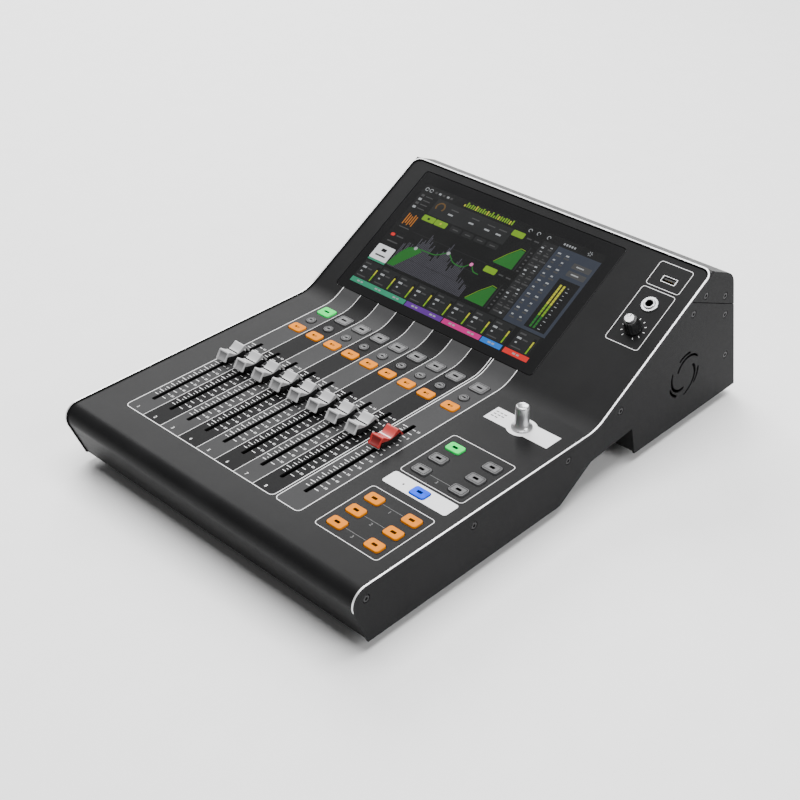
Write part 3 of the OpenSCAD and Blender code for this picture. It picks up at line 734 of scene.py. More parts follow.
def print_groups():
    """Frames and bands round the keys, the knobs and the sockets"""
    ink = Ink(on_deck)
    for frame_box in (USER_FRAME, BANK_FRAME):
        ink.outline(rounded(*frame_box, 3), LINE_W)
    ink.done("key_frames", INK_WHITE, "deck_paint")
    ink = Ink(on_deck, high=UNDER)
    for group in ("user", "bank"):
        for i in range(1, 4) if group == "user" else [3]:
            (x0, y), (x1, _) = centre(f"{group}_key_{i}"), centre(f"{group}_key_{i + 3}")
            ink.rect(x0 + 8.4, x1 - 8.4, y - 0.15, y + 0.15)
            ink.text(str(i), (x0 + x1) / 2, y - 3.6, 4.4)
    ink.done("key_links", INK_GREY, "deck_paint")
    ink = Ink(on_deck)
    ink.fill(rounded(*LAYER_BAND, 2.5)(), [key_loop("layer_key")(KEY_GAP + 0.2)])
    ink.done("layer_band", INK_SILVER, "deck_paint")
    x, y = KNOB
    ink = Ink(on_deck)
    ink.fill(knob_band(), [circle(x, y, 4.2, 32)()])
    ink.done("knob_band", INK_SILVER, "deck_paint")
    ink = Ink(on_screen)
    for frame_box in (USB_FRAME, PHONES_FRAME):
        ink.outline(rounded(*frame_box, 2.5), 0.45)
    for i in range(11):
        u = along(-60 + 30 * i)
        ink.ribbon([Vector(LEVEL_POS) + 8.8 * u, Vector(LEVEL_POS) + 10.4 * u], LINE_W)
    ink.done("socket_frames", INK_WHITE, "deck_paint")
    ink = Ink(on_deck, low=0.0, high=0.06)
    for x, rows in ((88.6, 3), (92.4, 3), (96.2, 2)):
        for j in range(rows):
            ink.rect(x - 1.3, x + 1.3, y + 3.4 - 3.4 * j, y + 4.4 - 3.4 * j)
    ink.rect(99.5, 101.0, 109.2, 110.9)
    ink.done("band_marks", INK_DARK, "deck_paint")


# ---- Side panels, rim and rear cover ----

def clip(points, start, direction, keep_left=True):
    """The part of a closed loop on one side of a line"""
    normal = Vector((-direction.y, direction.x)) * (1 if keep_left else -1)
    out = []
    for i, b in enumerate(points):
        a = points[i - 1]
        da, db = (a - start).dot(normal), (b - start).dot(normal)
        if (da > 0) != (db > 0):
            out.append(a.lerp(b, da / (da - db)))
        if db > 0:
            out.append(b)
    return out


def seam(gap):
    rise = math.tan(math.radians(TILT)) * (SEAM_Y - BEND_Y)
    return Vector((SEAM_Y, RIM_Z + rise + gap)), along(-COVER_TILT)


SCREW_HOLE_R = 3.2
# depth of the side panel's edge bands: the rim metal at the top and the painted shade of the seam gap
SEAM_EDGE_T = 1.35
# the case screws of one side: (y, z)
SCREWS = [(12.7, 38.8), (119.4, 38.3), (225, 38.8), (288, 52.5), (376.4, 100.8),
          (424.7, 80.3), (433.6, 38.1), (392, 111), (421, 99)]


def swirl_loop(a0, turn, r0, r1, w0, w1):
    """A curved slot around the fan's middle, running from radius r0 to r1"""
    pts = ([], [])
    for t in frange(0, 1, 1 / 14):
        r = r0 + (r1 - r0) * t
        half = (w0 + (w1 - w0) * t) / 2 * min(1, 5 * t + 0.5, 5 * (1 - t) + 0.5)
        u = along(a0 + turn * t)
        pts[0].append(Vector(FAN_POS) + (r + half) * u)
        pts[1].append(Vector(FAN_POS) + (r - half) * u)
    return pts[0] + pts[1][::-1]


def swirl_holes():
    holes = []
    for turn in (0, 120, 240):
        holes.append(outline_of(swirl_loop(turn + 34, 118, 19.6, 11.8, 2.0, 3.0)))
        holes.append(outline_of(swirl_loop(turn + 76, 46, 20.0, 18.6, 2.0, 2.4)))
    return holes


def make_side_panel(side, node):
    start, direction = seam(-SEAM_GAP / 2)
    points = clip(case_outline(0), start, direction, keep_left=False)
    holes = [circle(*s, SCREW_HOLE_R, 32) for s in SCREWS if inside(s, points)] + swirl_holes()

    def edge(y, z):
        on_seam = abs((Vector((y, z)) - start).cross(direction.normalized())) < 0.3
        # the seam edge is painted near-black as painted shade of the gap; the top edge takes the rim metal
        return 2 if on_seam else 1 if z > DECK_Z - 20 and y < SEAM_Y + 1 else 0

    bm = bmesh.new()
    add_plate(bm, on_side(side), outline_of(points), holes, t=SIDE_T, c=0.15,
              edge=edge, edge_t=SEAM_EDGE_T)
    make(node + "_plate", bm, [SIDE, RIM, SEAM_SHADE_AND_LINE_BLACK], "side_paint", [node])


SHELF_H = -0.8
RIM_LIGHT_H = 0.45


def rim_loop(g):
    """Open U along the rim's middle, from seam to seam round the screen panel's top"""
    half, top, r = HALF_W - SIDE_T + g, SLOPE_LEN - SIDE_T + g, CORNER_R - SIDE_T + g
    low = (SEAM_Y - BEND_Y) / math.cos(math.radians(TILT))
    return ([Vector((half, low))] + arc((half - r, top - r), r, 0, 90, 10)
            + arc((r - half, top - r), r, 90, 180, 10) + [Vector((-half, low))])


def make_rim():
    """Raised edge of the rear cover, bright on top"""
    bm = bmesh.new()
    c = 0.25
    section = [(0, SHELF_H - 0.1, 0), (0, RIM_H - c, 0), (c, RIM_H, 0), (0.65, RIM_H, 1), (SIDE_T - c, RIM_H, 1),
               (SIDE_T, RIM_H - c, 1), (SIDE_T, RIM_LIGHT_H, 0), (SIDE_T, SHELF_H - 0.1, 0)]
    rings = [[bm.verts.new(on_screen(p.x, p.y, h)) for p in rim_loop(g)] for g, h, _ in section]
    for k, (_, _, material) in enumerate(section):
        a, b = rings[k], rings[(k + 1) % len(rings)]
        for i in range(len(a) - 1):
            bm.faces.new((a[i], a[i + 1], b[i + 1], b[i])).material_index = material
    for end in (0, -1):
        bm.faces.new([ring[end] for ring in rings])
    make("cover_rim", bm, [SIDE, RIM], "side_paint")


def make_cover():
    start, direction = seam(SEAM_GAP / 2)
    shelf = PANEL_BEND + SHELF_H * along(TILT + 90)
    body = clip(clip(case_outline(0), start, direction), shelf, along(TILT), keep_left=False)
    hollow = clip(clip(case_outline(COVER_T), start - direction, direction), shelf, along(TILT), keep_left=False)
    bm = bmesh.new()
    for side in (-1, 1):
        holes = [circle(*s, SCREW_HOLE_R, 32) for s in SCREWS if inside(s, body)]
        add_plate(bm, on_side(side), outline_of(body), holes, t=SIDE_T, c=0.15)
    front = PANEL_BEND.x + SLOPE_LEN * math.cos(math.radians(TILT)) - 2.4
    skin = [p for p in body if p.x > front]
    inner = [p for p in hollow if p.x > front]
    loop = skin + inner[::-1]
    rings = [[part(x, p.x, p.y) for p in loop] for x in (SIDE_T - HALF_W, HALF_W - SIDE_T)]
    # the top skin takes the lighter, glossier copy of the side paint: painted sheen
    add_loft(bm, rings, material=1)
    make("rear_cover_shell", bm, [SIDE, COVER_SHEEN], "side_paint", ["rear_top_cover"])
    bm = bmesh.new()
    s, back = seam(0)
    up = Vector((-back.y, back.x))
    for side in (-1, 1):
        strip = [s + 5 * back - 4 * up, s + 60 * back - 4 * up, s + 60 * back + 4 * up, s + 12 * back + 4 * up]
        add_plate(bm, on_side(side), outline_of(strip), t=1.2, c=0, top=-SIDE_T - 0.02)
    add_plate(bm, on_rear, rounded(1 - BASE_HALF, BASE_HALF - 1, REAR_TOP - 6, REAR_TOP + 6, 0.5, 30), t=1.0, c=0,
              top=-RIM_H - 1.7)
    make("cover_flange", bm, BLACK_PAINT, "side_paint")


# ---- Base pan, rear panel and everything in it, screws and feet ----

BASE_HALF = HALF_W - SIDE_T - 0.15
REAR_TOP = 84.8


def make_base():
    """One bent sheet: front floor, carrying grip and rear floor, with vent slots in both floors"""
    bm = bmesh.new()
    corners = underside(RIM_H)
    for i, (p, q) in enumerate(zip(corners, corners[1:])):
        run = (q - p).normalized()
        out = Vector((run.y, -run.x))

        def place(x, s, h, p=p, run=run, out=out):
            c = p + s * run + h * out
            return part(x, c.x, c.y)

        length = (q - p).length
        slots = []
        if i in (0, 4):
            middle = length * (0.62 if i == 0 else 0.45)
            slots = [rounded(x - 1.4, x + 1.4, middle - 13, middle + 13, 1.3, 30)
                     for side in (-1, 1) for x in [side * (36 + 8 * k) for k in range(8)]]
        add_plate(bm, place, rounded(-BASE_HALF, BASE_HALF, 0, length, 0.05, 90), slots, t=1.6, c=0.0)
    make("base_sheet", bm, BLACK_PAINT, "black_paint", ["base_pan"])


XLR_FLANGE = 12.1
XLR_DEPTH = -23.9
XLR_SCREW = 9.5
PIN_ANGLES = (30, 150, 270)
XLR_X = [-141 + 26.5 * i for i in range(8)]
XLR_ROWS = [19.6, 44.4, 69.2]
LAN_POS = [(76, 66), (97, 66), (118, 66)]
USB_B_POS = (139, 66)
INLET_POS = (128, 20)
ROCKER_POS = (93, 20)


def block(x, y, hw, hh, r=0.5):
    return rounded(x - hw, x + hw, y - hh, y + hh, r, 30)


def make_rear_panel():
    holes = [circle(x, w, 11.15, 40) for x in XLR_X for w in XLR_ROWS]
    holes += [block(*p, 8.2, 7.2) for p in LAN_POS] + [block(*USB_B_POS, 6.3, 5.9)]
    holes += [block(*INLET_POS, 14.2, 10.4), block(*ROCKER_POS, 6.9, 10.2)]
    bm = bmesh.new()
    add_plate(bm, on_rear, rounded(-BASE_HALF, BASE_HALF, 3.2, REAR_TOP, 0.8, 30), holes, top=-RIM_H)
    make("rear_sheet", bm, BLACK_PAINT, "black_paint", ["rear_panel"])
    ink = Ink(lambda x, w, h: on_rear(-x, w, h - RIM_H))
    for i, x in enumerate(XLR_X):
        ink.text(str(i + 1), -x, 83.0, 2.6)
    for x, w in LAN_POS + [USB_B_POS]:
        ink.ribbon([(-x - 5, w - 9.6), (-x + 5, w - 9.6)], 0.5)
    ink.outline(rounded(-150, -68, 36, 50, 2.0), 0.4)
    for k in range(5):
        ink.ribbon([(-146 + 2 * k, 46.5 - 2 * k), (-74 - 3 * k, 46.5 - 2 * k)], 0.35)
    ink.done("rear_printing", INK_WHITE, "black_paint")


def make_xlr():
    """The lowest row has pins and the others have holes; four of the middle row also take a jack"""
    flanges, barrels, faces, pins, tabs, screws = [bmesh.new() for _ in range(6)]
    for row, w in enumerate(XLR_ROWS):
        for i, x in enumerate(XLR_X):
            add_plate(flanges, on_rear, block(x, w, XLR_FLANGE, XLR_FLANGE, 2), [circle(x, w, 10.1, 40)],
                      t=1.1, top=0.2)
            floor, bore = (-10.4, 9.35) if row else (-15.0, 9.2)
            add_lathe(barrels, on_rear, x, w,
                      [(0, floor), (bore, floor), (bore, 0), (bore + 0.3, 0.25), (10.3, 0.25), (10.3, -0.6),
                       (10.9, -0.9), (10.9, XLR_DEPTH), (0, XLR_DEPTH)], 40)
            if row == 0:
                for a in PIN_ANGLES:
                    p = Vector((x, w)) + 5.2 * along(a)
                    profile = [(0, -15.2), (1.2, -15.2), (1.2, -4.2), (0.7, -3.5), (0, -3.4)]
                    add_lathe(pins, on_rear, p.x, p.y, profile, 16)
                add_box(barrels, on_rear, x - 1.4, x + 1.4, w + 8.0, w + 9.3, -14, -0.8)
            else:
                combo = row == 1 and i > 3
                holes = [circle(*(Vector((x, w)) + 6.6 * along(a)), 1.5, 20) for a in PIN_ANGLES]
                holes += [circle(x, w, 3.25, 28)] if combo else []
                add_plate(faces, on_rear, circle(x, w, 9.05, 40), holes, t=9.8, c=0.25, top=-0.35)
                if combo:
                    add_plate(pins, on_rear, circle(x, w, 4.2, 28), [circle(x, w, 3.3, 28)], t=1.5, c=0.2, top=-0.1)
                add_box(tabs, on_rear, x - 3.0, x + 3.0, w + 9.9, w + 11.9, -0.2, 0.45, 0.4)
            for sx, sw in ((x - XLR_SCREW, w + XLR_SCREW), (x + XLR_SCREW, w - XLR_SCREW)):
                add_plate(screws, on_rear, circle(sx, sw, 1.7, 20), [circle(sx, sw, 0.75, 6)], t=0.5, c=0.18, top=0.5)
                add_lathe(screws, on_rear, sx, sw, [(0, 0.05), (0.9, 0.05), (0.9, 0.2), (0, 0.2)], 6)
    make("xlr_flanges", flanges, STEEL_BLACK, "socket_black", ["sockets"])
    make("xlr_barrels", barrels, PLASTIC_BLACK, "socket_black")
    make("xlr_faces", faces, PLASTIC_BLACK, "socket_black")
    make("xlr_pins", pins, SATIN_METAL, "bare_steel")
    make("xlr_latches", tabs, STEEL, "bare_steel")
    make("flange_screws", screws, STEEL, "bare_steel")


def make_data_sockets():
    shells, cores, contacts = [bmesh.new() for _ in range(3)]
    for x, w in LAN_POS:
        add_plate(shells, on_rear, block(x, w, 8, 7), [block(x, w, 5.9, 4.2, 0.3)], t=15, c=0.3, top=-0.5)
        add_block(cores, on_rear, x, w, 5.8, 4.1, -14.5, -13)
        add_box(cores, on_rear, x - 5.8, x + 5.8, w - 4.1, w - 3.2, -13.1, -1.2)
        for k in range(8):
            cx = x + (k - 3.5) * 1.05
            add_box(contacts, on_rear, cx - 0.2, cx + 0.2, w + 2.4, w + 2.9, -13.0, -2.5, 0.05, 0.05)
    x, w = USB_B_POS
    add_plate(shells, on_rear, block(x, w, 6.1, 5.7), [block(x, w, 4.3, 3.9, 0.8)], t=15, c=0.25, top=-0.5)
    add_block(cores, on_rear, x, w, 4.2, 3.8, -14.5, -13)
    add_block(cores, on_rear, x, w, 2.8, 1.6, -13.1, -2.6)
    for cx in (x - 1.3, x + 1.3):
        for dw in (-1.75, 1.65):
            add_box(contacts, on_rear, cx - 0.4, cx + 0.4, w + dw, w + dw + 0.12, -12, -3.2, 0.02, 0.02)
    x, w = USB_POS
    add_plate(shells, on_screen, block(x, w, 6.7, 3.2), [block(x, w, 6.1, 2.6, 0.3)], t=14, c=0.15, top=-0.02)
    add_block(cores, on_screen, x, w, 6.0, 2.5, -13.8, -12.6)
    add_box(cores, on_screen, x - 5.5, x + 5.5, w + 0.3, w + 2.1, -12.7, -1.6)
    for k in range(4):
        cx = x + (k - 1.5) * 2.4
        add_box(contacts, on_screen, cx - 0.5, cx + 0.5, w + 0.16, w + 0.32, -12, -2.2, 0.05, 0.05)
    make("data_socket_shells", shells, STEEL, "bare_steel")
    make("data_socket_cores", cores, PLASTIC_BLACK, "socket_black")
    make("data_socket_contacts", contacts, BRASS)
    x, w = JACK_POS
    bm = bmesh.new()
    for outer, inner, n, t, c, top in ((4.7, 3.25, 40, 26.4, 0.35, 2.4), (7, 4.75, 48, 1.05, 0.3, 1.1)):
        add_plate(bm, on_screen, circle(x, w, outer, n), [circle(x, w, inner, n)], t=t, c=c, top=top)
    make("phones_jack", bm, SATIN_METAL, "bare_metal")
    bm = bmesh.new()
    add_plate(bm, on_screen, circle(x, w, 3.23, 40), [circle(x, w, 3.0, 40)], t=25, c=0, top=2.1)
    make("phones_jack_sleeve", bm, PLASTIC_BLACK)


def make_power():
    bm = bmesh.new()
    add_box(bm, part, 62, 137, 326, 404, 2.6, 42, 0.6, 0.4)
    make("power_supply_case", bm, STEEL, "bare_steel", ["power_supply"])
    bm = bmesh.new()
    x, w = INLET_POS

    def mouth(g=0.0):
        pts = [(-12, -8), (12, -8), (12, 3.5), (8.2, 8), (-8.2, 8), (-12, 3.5)]
        return grow([Vector((x + a, w + b)) for a, b in pts], g)

    add_plate(bm, on_rear, block(x, w, 18, 12.6, 2), [mouth], t=2.05, c=0.4, top=1.15)
    add_plate(bm, on_rear, block(x, w, 14, 10.2, 1), [mouth], t=18, c=0, top=-0.9)
    add_block(bm, on_rear, x, w, 14, 10.2, -24, -17.9, 1)
    x, w = ROCKER_POS
    opening = block(x, w, 5.2, 8.4, 0.4)
    add_plate(bm, on_rear, block(x, w, 8.5, 12, 1.5), [opening], t=1.75, c=0.35, top=0.85)
    add_plate(bm, on_rear, block(x, w, 6.7, 10, 0.5), [opening], t=12.5, c=0, top=-0.9)
    add_block(bm, on_rear, x, w, 6.7, 10, -18, -13.2, 0.5)
    make("inlet_and_switch_frame", bm, PLASTIC_BLACK, "socket_black")
    bm = bmesh.new()
    x, w = INLET_POS
    for dx, dw in ((-7, -1.8), (7, -1.8), (0, 2.4)):
        add_block(bm, on_rear, x + dx, w + dw, 1, 2, -18, -3.5, 0.3, 0.5)
    for side in (-1, 1):
        add_lathe(bm, on_rear, x + side * 16, w, [(0, 1.0), (1.7, 1.0), (1.5, 1.45), (0, 1.5)], 20)
    make("inlet_pins", bm, SATIN_METAL, "bare_steel")
    bm = bmesh.new()
    x, w = ROCKER_POS
    shape = [Vector(p) for p in ((-4, 0), (-1, -7.4), (3.4, -7.6), (4.6, 0), (6.2, 6.6), (3, 7.4))]
    steps = [(x - 4.8, -0.3), (x - 4.5, 0), (x + 4.5, 0), (x + 4.8, -0.3)]
    add_loft(bm, [[on_rear(sx, w + p.y, p.x - 4) for p in grow(shape, g)] for sx, g in steps])
    make("rocker", bm, PLASTIC_BLACK, "rocker_black", ["power_rocker"], body="power_rocker_body")
    for name, a, b in (("rocker_on_mark", shape[2], shape[3]), ("rocker_off_mark", shape[3], shape[4])):
        run = (b - a).normalized()

        def place(px, s, h, a=a, run=run):
            c = a + s * run + h * Vector((run.y, -run.x))
            return on_rear(x + px, w + c.y, c.x - 4)

        ink = Ink(place)
        if name == "rocker_on_mark":
            ink.ribbon([(0, 2.2), (0, 5.4)], 0.5)
        else:
            ink.outline(circle(0, (b - a).length / 2, 1.5, 24), 0.45)
        ink.done(name, INK_WHITE, body="power_rocker_body")


def make_screws():
    heads = bmesh.new()
    for place in (on_side(-1), on_side(1)):
        for y, z in SCREWS:
            add_plate(heads, place, circle(y, z, 2.85, 32), [circle(y, z, 1.35, 6)], t=0.95, c=0.35, top=-0.12)
            profile = [(0, -6), (1.5, -6), (1.5, -1.9), (2.6, -1.2), (2.6, -1.02), (0, -1.02)]
            add_lathe(heads, place, y, z, profile, 24)
    make("side_screws", heads, STEEL_BLACK, "black_steel", ["case_screws"])


def make_feet():
    feet, washers = bmesh.new(), bmesh.new()
    for x in (-132, 132):
        for y in (40, 428):
            add_lathe(feet, part, x, y, [(0, -7.4), (4.2, -7.4), (4.2, 0.02 - FOOT_H), (8.5, 0.02 - FOOT_H),
                                         (9, 0.5 - FOOT_H), (10, -0.2), (10, RIM_H), (0, RIM_H)], 40)
            add_lathe(washers, part, x, y, [(0, -7.45), (3.2, -7.45), (3.2, -8.1), (1.4, -8.5), (0, -8.5)], 24)
    make("feet", feet, RUBBER, "black_rubber", ["rubber_feet"])
    make("foot_screws", washers, STEEL)


# ---- Faders ----

VALLEY = 7.3
CAP_HALF_W = 5.8
# one side of the cap, from the middle of its valley down to its end and back underneath: (y, z, dish)
CAP_TOP = [(0, 7.3, 0), (1.2, 7.42, 0), (2.6, 7.95, 0), (4.2, 8.9, 0), (5.8, 10.05, 0), (7.0, 11.0, 0),
           (7.6, 11.33, 0), (8.1, 11.38, 0), (8.6, 11.15, 0), (9.1, 10.5, 0), (9.35, 10.15, 0.35),
           (10.2, 9.0, 0.75), (11.3, 7.5, 0.85), (12.3, 6.15, 0.6), (12.85, 5.4, 0.2), (13.1, 5.05, 0),
           (13.32, 4.55, 0), (13.2, 4.1, 0)]
DISH_AXIS = Vector((-0.80, -0.60))
CAP_UNDER = [(12.5, 4.05, 0), (11.7, 4.3, 0), (10.8, 6.0, 0), (9.9, 7.7, 0), (7.0, 7.0, 0), (1.6, 5.95, 0)]
# rings across the cap: (part of its half width, dished, shrink)
CAP_STATIONS = [(-1, False, 0.3), (-0.955, False, 0), (-0.78, False, 0), (-0.70, True, 0),
                (0.70, True, 0), (0.78, False, 0), (0.955, False, 0), (1, False, 0.3)]


def cap_ring(dished, shrink):
    """The cap's closed outline, as (points, which of them lie in a dish)"""
    half = CAP_TOP + CAP_UNDER
    right = [Vector((y, z)) + (d * DISH_AXIS if dished else Vector((0, 0))) for y, z, d in half]
    pts = right + [Vector((-p.x, p.y)) for p in right[:0:-1]]
    marks = [d > 0.1 for _, _, d in half]
    # the outline runs clockwise, so growing it shrinks the cap
    return grow(pts, shrink) if shrink else pts, marks + marks[:0:-1]


def make_fader(i):
    node, body, red = f"fader_{i}", f"fader_{i}_body", i == STRIPS
    cx, cy = centre(node)
    bm = bmesh.new()
    rings = []
    for across, dished, shrink in CAP_STATIONS:
        pts, marks = cap_ring(dished, shrink)
        rings.append([bm.verts.new(on_deck(cx + across * CAP_HALF_W, cy + p.x, p.y)) for p in pts])
    # faces in the dish take the darker copy of the cap colour, as painted shade
    dish_shade = [1 if marks[n] or marks[n - 1] else 0 for n in range(len(pts))]
    for k, (a, b) in enumerate(zip(rings, rings[1:])):
        add_band(bm, a, b, dish_shade if k == len(rings) // 2 - 1 else 0)
    for ring in (rings[0], rings[-1]):
        bmesh.ops.triangulate(bm, faces=[bm.faces.new(ring)])
    paints, slot = ([CAP_RED, CAP_RED_DISH_SHADE], "fader_red") if red else ([CAP_GREY, CAP_DISH_SHADE], "fader_grey")
    make(f"cap_{i}", bm, paints, slot, [node], body=body, sharp=38)
    ink = Ink(lambda x, y, h: on_deck(cx + x, cy + y, VALLEY + 0.02 + h), low=-0.25, high=0.06)
    half = 0.5 if red else 0.75
    ink.rect(-5.55, 5.55, -half, half)
    # grey caps get their line in the same near-black used for the painted seam shade; here it is print
    ink.done(f"cap_line_{i}", INK_WHITE if red else SEAM_SHADE_AND_LINE_BLACK, body=body)
    if red:
        bm = bmesh.new()
        for s in (-1, 1):
            y0, y1 = sorted((cy + s * 11.6, cy + s * 13.3))
            add_box(bm, on_deck, cx - 5.5, cx + 5.5, y0, y1, 3.2, 4.1, 0.4, 0.15)
        make("red_cap_lips", bm, CAP_GREY, body=body)
    bm = bmesh.new()
    add_block(bm, on_deck, cx, cy, 2.4, 6, 1.0, 6.3, 0.5, 0.2)
    add_block(bm, on_deck, cx, cy, 5.3, 9.2, 1.8, 5.9, 0.5, 0.2)
    make(f"cap_core_{i}", bm, PLASTIC_BLACK, body=body)
    bm = bmesh.new()
    add_block(bm, on_deck, cx, cy, 0.6, 4, -14, 3, 0.1, 0.1)
    add_block(bm, on_deck, cx, cy, 5.4, 9, -20.4, -13.6, 0.5, 0.3)
    make(f"fader_carriage_{i}", bm, SATIN_METAL, body=body)


# ---- Keys and knobs ----

# a key from its foot to its top: (growth, height)
KEY_STEPS = [(KEY_LIP, -3.0), (KEY_LIP, -2.2), (0, -2.2), (0, 0.75), (-0.12, 1.0), (-0.35, 1.15), (-0.65, KEY_TOP)]
KEY_MARKS = dict(low=KEY_TOP - 0.05, high=KEY_TOP)
LIT = {"sel_key_1": KEY_GREEN, "bank_key_1": KEY_GREEN, "layer_key": KEY_BLUE}
LIT.update({f"{row}_key_{i}": KEY_ORANGE for row, n in (("on", STRIPS), ("user", 6)) for i in range(1, n + 1)})
SLOT_OF = {KEY_GREEN: "key_green", KEY_ORANGE: "key_orange", KEY_BLUE: "key_blue", KEY_GREY: "key_grey"}


def make_keys():
    for node in RECT_KEYS:
        body = node + "_body"
        material = LIT.get(node, KEY_GREY)
        loop = key_loop(node)
        bm = bmesh.new()
        add_stack(bm, on_deck, loop, KEY_STEPS)
        make(node + "_cap", bm, material, SLOT_OF[material], [node], body=body)
        x, y = centre(node)
        ink = Ink(on_deck, **KEY_MARKS)
        if material is KEY_GREY:
            ink.outline(lambda g: loop(-1.3), 0.5)
        if node.startswith("sel"):
            ink.rect(x - 2.8, x + 2.8, y - 1.0, y + 1.0, 0.6)
        elif node.startswith("on"):
            ink.rect(x - 2.4, x - 0.2, y - 1.1, y + 1.1, 0.6)
            ink.rect(x + 0.5, x + 1.1, y - 1.1, y + 1.1)
            ink.rect(x + 1.8, x + 2.4, y - 1.1, y + 1.1)
        else:
            ink.rect(x - 2.4, x + 2.4, y - 1.3, y + 1.3, 0.6)
        ink.done(node + "_mark", INK_DARK, body=body)
    bm, marks = bmesh.new(), Ink(on_deck, **KEY_MARKS)
    profile = [(0, -3), (CUE_R + KEY_LIP, -3), (CUE_R + KEY_LIP, -2.2), (CUE_R, -2.2),
               (CUE_R, 0.75), (CUE_R - 0.35, 1.15), (CUE_R - 0.65, KEY_TOP), (0, KEY_TOP)]
    for x in CUE_X:
        add_lathe(bm, on_deck, x, CUE_Y, profile, 40)
        marks.outline(circle(x, CUE_Y, 3.1, 28), 0.5)
        marks.rect(x - 1.7, x + 1.7, CUE_Y - 0.8, CUE_Y + 0.8, 0.5)
    make("round_keys", bm, KEY_GREY, "key_grey", ["cue_keys"], body="cue_keys_body")
    marks.done("round_key_marks", INK_DARK, body="cue_keys_body")


def make_knobs():
    bm = bmesh.new()
    x, y = KNOB
    profile = [(0, -8), (2.9, -8), (2.9, 0.4), (7.9, 0.4), (8.3, 0.7), (8.3, 1.1), (7.6, 1.7), (6.6, 2.6), (6.0, 3.9),
               (5.7, 5.6), (5.55, 8), (5.5, 18.4), (5.3, 19.1), (4.7, 19.75), (4.2, 19.9), (3.9, 19.72),
               (0, 19.7)]
    add_lathe(bm, on_deck, x, y, profile, 64)
    make("encoder_knob", bm, SATIN_METAL, "knob_silver", ["touch_turn_knob"], body="touch_turn_knob_body", sharp=40)
    x, w = LEVEL_POS
    bm = bmesh.new()

    def flutes(angle, h):
        return 1 - (0.05 * max(0, math.cos(math.radians(12 * angle))) if 1.5 < h < 12.4 else 0)

    profile = [(0, -8), (2.9, -8), (2.9, 0.6), (7.1, 0.6), (7.2, 0.9), (7.15, 1.4), (6.9, 1.8), (5.9, 10.5),
               (5.65, 12.1), (5.3, 12.6), (4.5, 12.8), (4.2, 12.75), (0, 12.7)]
    add_lathe(bm, on_screen, x, w, profile, 144, flutes)
    make("level_knob", bm, PLASTIC_BLACK, "knob_black", ["phones_knob"], body="phones_knob_body", sharp=40)
    bm = bmesh.new()
    add_lathe(bm, on_screen, x, w, [(0, 12.5), (4.1, 12.5), (4.05, 14.6), (3.8, 14.95), (0, 15)], 48)
    make("level_knob_cap", bm, SATIN_METAL, body="phones_knob_body")
    ink = Ink(on_screen, low=14.9, high=15.0)
    ink.ribbon([(x, w + 1.2), (x, w + 3.6)], 0.8)
    ink.done("level_knob_pointer", INK_DARK, body="phones_knob_body")


# ---- Screen ----

SCREEN_COLOURS = {
    "back": (0.0030, 0.0032, 0.0034),
    "panel": (0.0105, 0.0110, 0.0115),
    "slate": (0.022, 0.027, 0.040),
    "light": (0.24, 0.25, 0.26),
    "dim": (0.040, 0.040, 0.041),
    "paper": (0.60, 0.61, 0.63),
    "spectrum": (0.045, 0.044, 0.055),
    "orange": (0.32, 0.105, 0.006),
    "dial": (0.085, 0.045, 0.012),
    "green": (0.010, 0.105, 0.014),
    "lime": (0.13, 0.26, 0.008),
    "yellow": (0.36, 0.36, 0.02),
    "teal": (0.020, 0.20, 0.11),
    "purple": (0.085, 0.020, 0.20),
    "magenta": (0.42, 0.016, 0.16),
    "blue": (0.010, 0.13, 0.50),
    "red": (0.55, 0.020, 0.016),
    "pink": (0.60, 0.12, 0.34),
}
SCREEN_GLOW = 1.56
SCREEN_LAYER = 0.012
SCREEN_LAYERS = {}


def screen_ink(colour, level):
    """The ink of one colour at one level; a higher level lies over a lower one"""
    if (colour, level) not in SCREEN_LAYERS:
        SCREEN_LAYERS[colour, level] = Ink(on_screen, low=-0.08, high=SCREEN_LAYER * level)
    return SCREEN_LAYERS[colour, level]


def tile(colour, x0, x1, w0, w1, level=1, r=0.0):
    screen_ink(colour, level).rect(x0, x1, w0, w1, r)


def line(colour, points, width, level=2):
    screen_ink(colour, level).ribbon(points, width)


def screen_top_row():
    """Icons and level bars"""
    for x in (-126.5, -121.5):
        line("light", [Vector((x + 1.8, 135.5)) + 1.7 * along(a) for a in range(0, 331, 30)], 0.6, 2)
    for k, x in enumerate((-115, -110.5, -106, -101, -97)):
        tile("light" if k % 2 else "dim", x, x + 2.6, 134.4, 136.4)
    for k in range(22):
        x = -80 + 2.55 * k
        h = 2.2 + 2.3 * abs(math.sin(1.7 * k)) + 0.9 * abs(math.sin(4.1 * k))
        tile("lime" if k % 5 else "yellow", x, x + 1.5, 133.4, 133.4 + h)
    for x in (-7.5, 1.5, 12.5):
        line("light", [Vector((x + 1.7, 135.6)) + 1.6 * along(a) for a in range(0, 271, 30)], 0.6, 1)
    for k in range(5):
        tile("light", 30 + 2.7 * k, 31.6 + 2.7 * k, 134.6, 136.6)
    for a in range(0, 360, 60):
        p = Vector((57, 136))
        line("light", [p + 1.0 * along(a), p + 2.4 * along(a)], 0.6, 1)


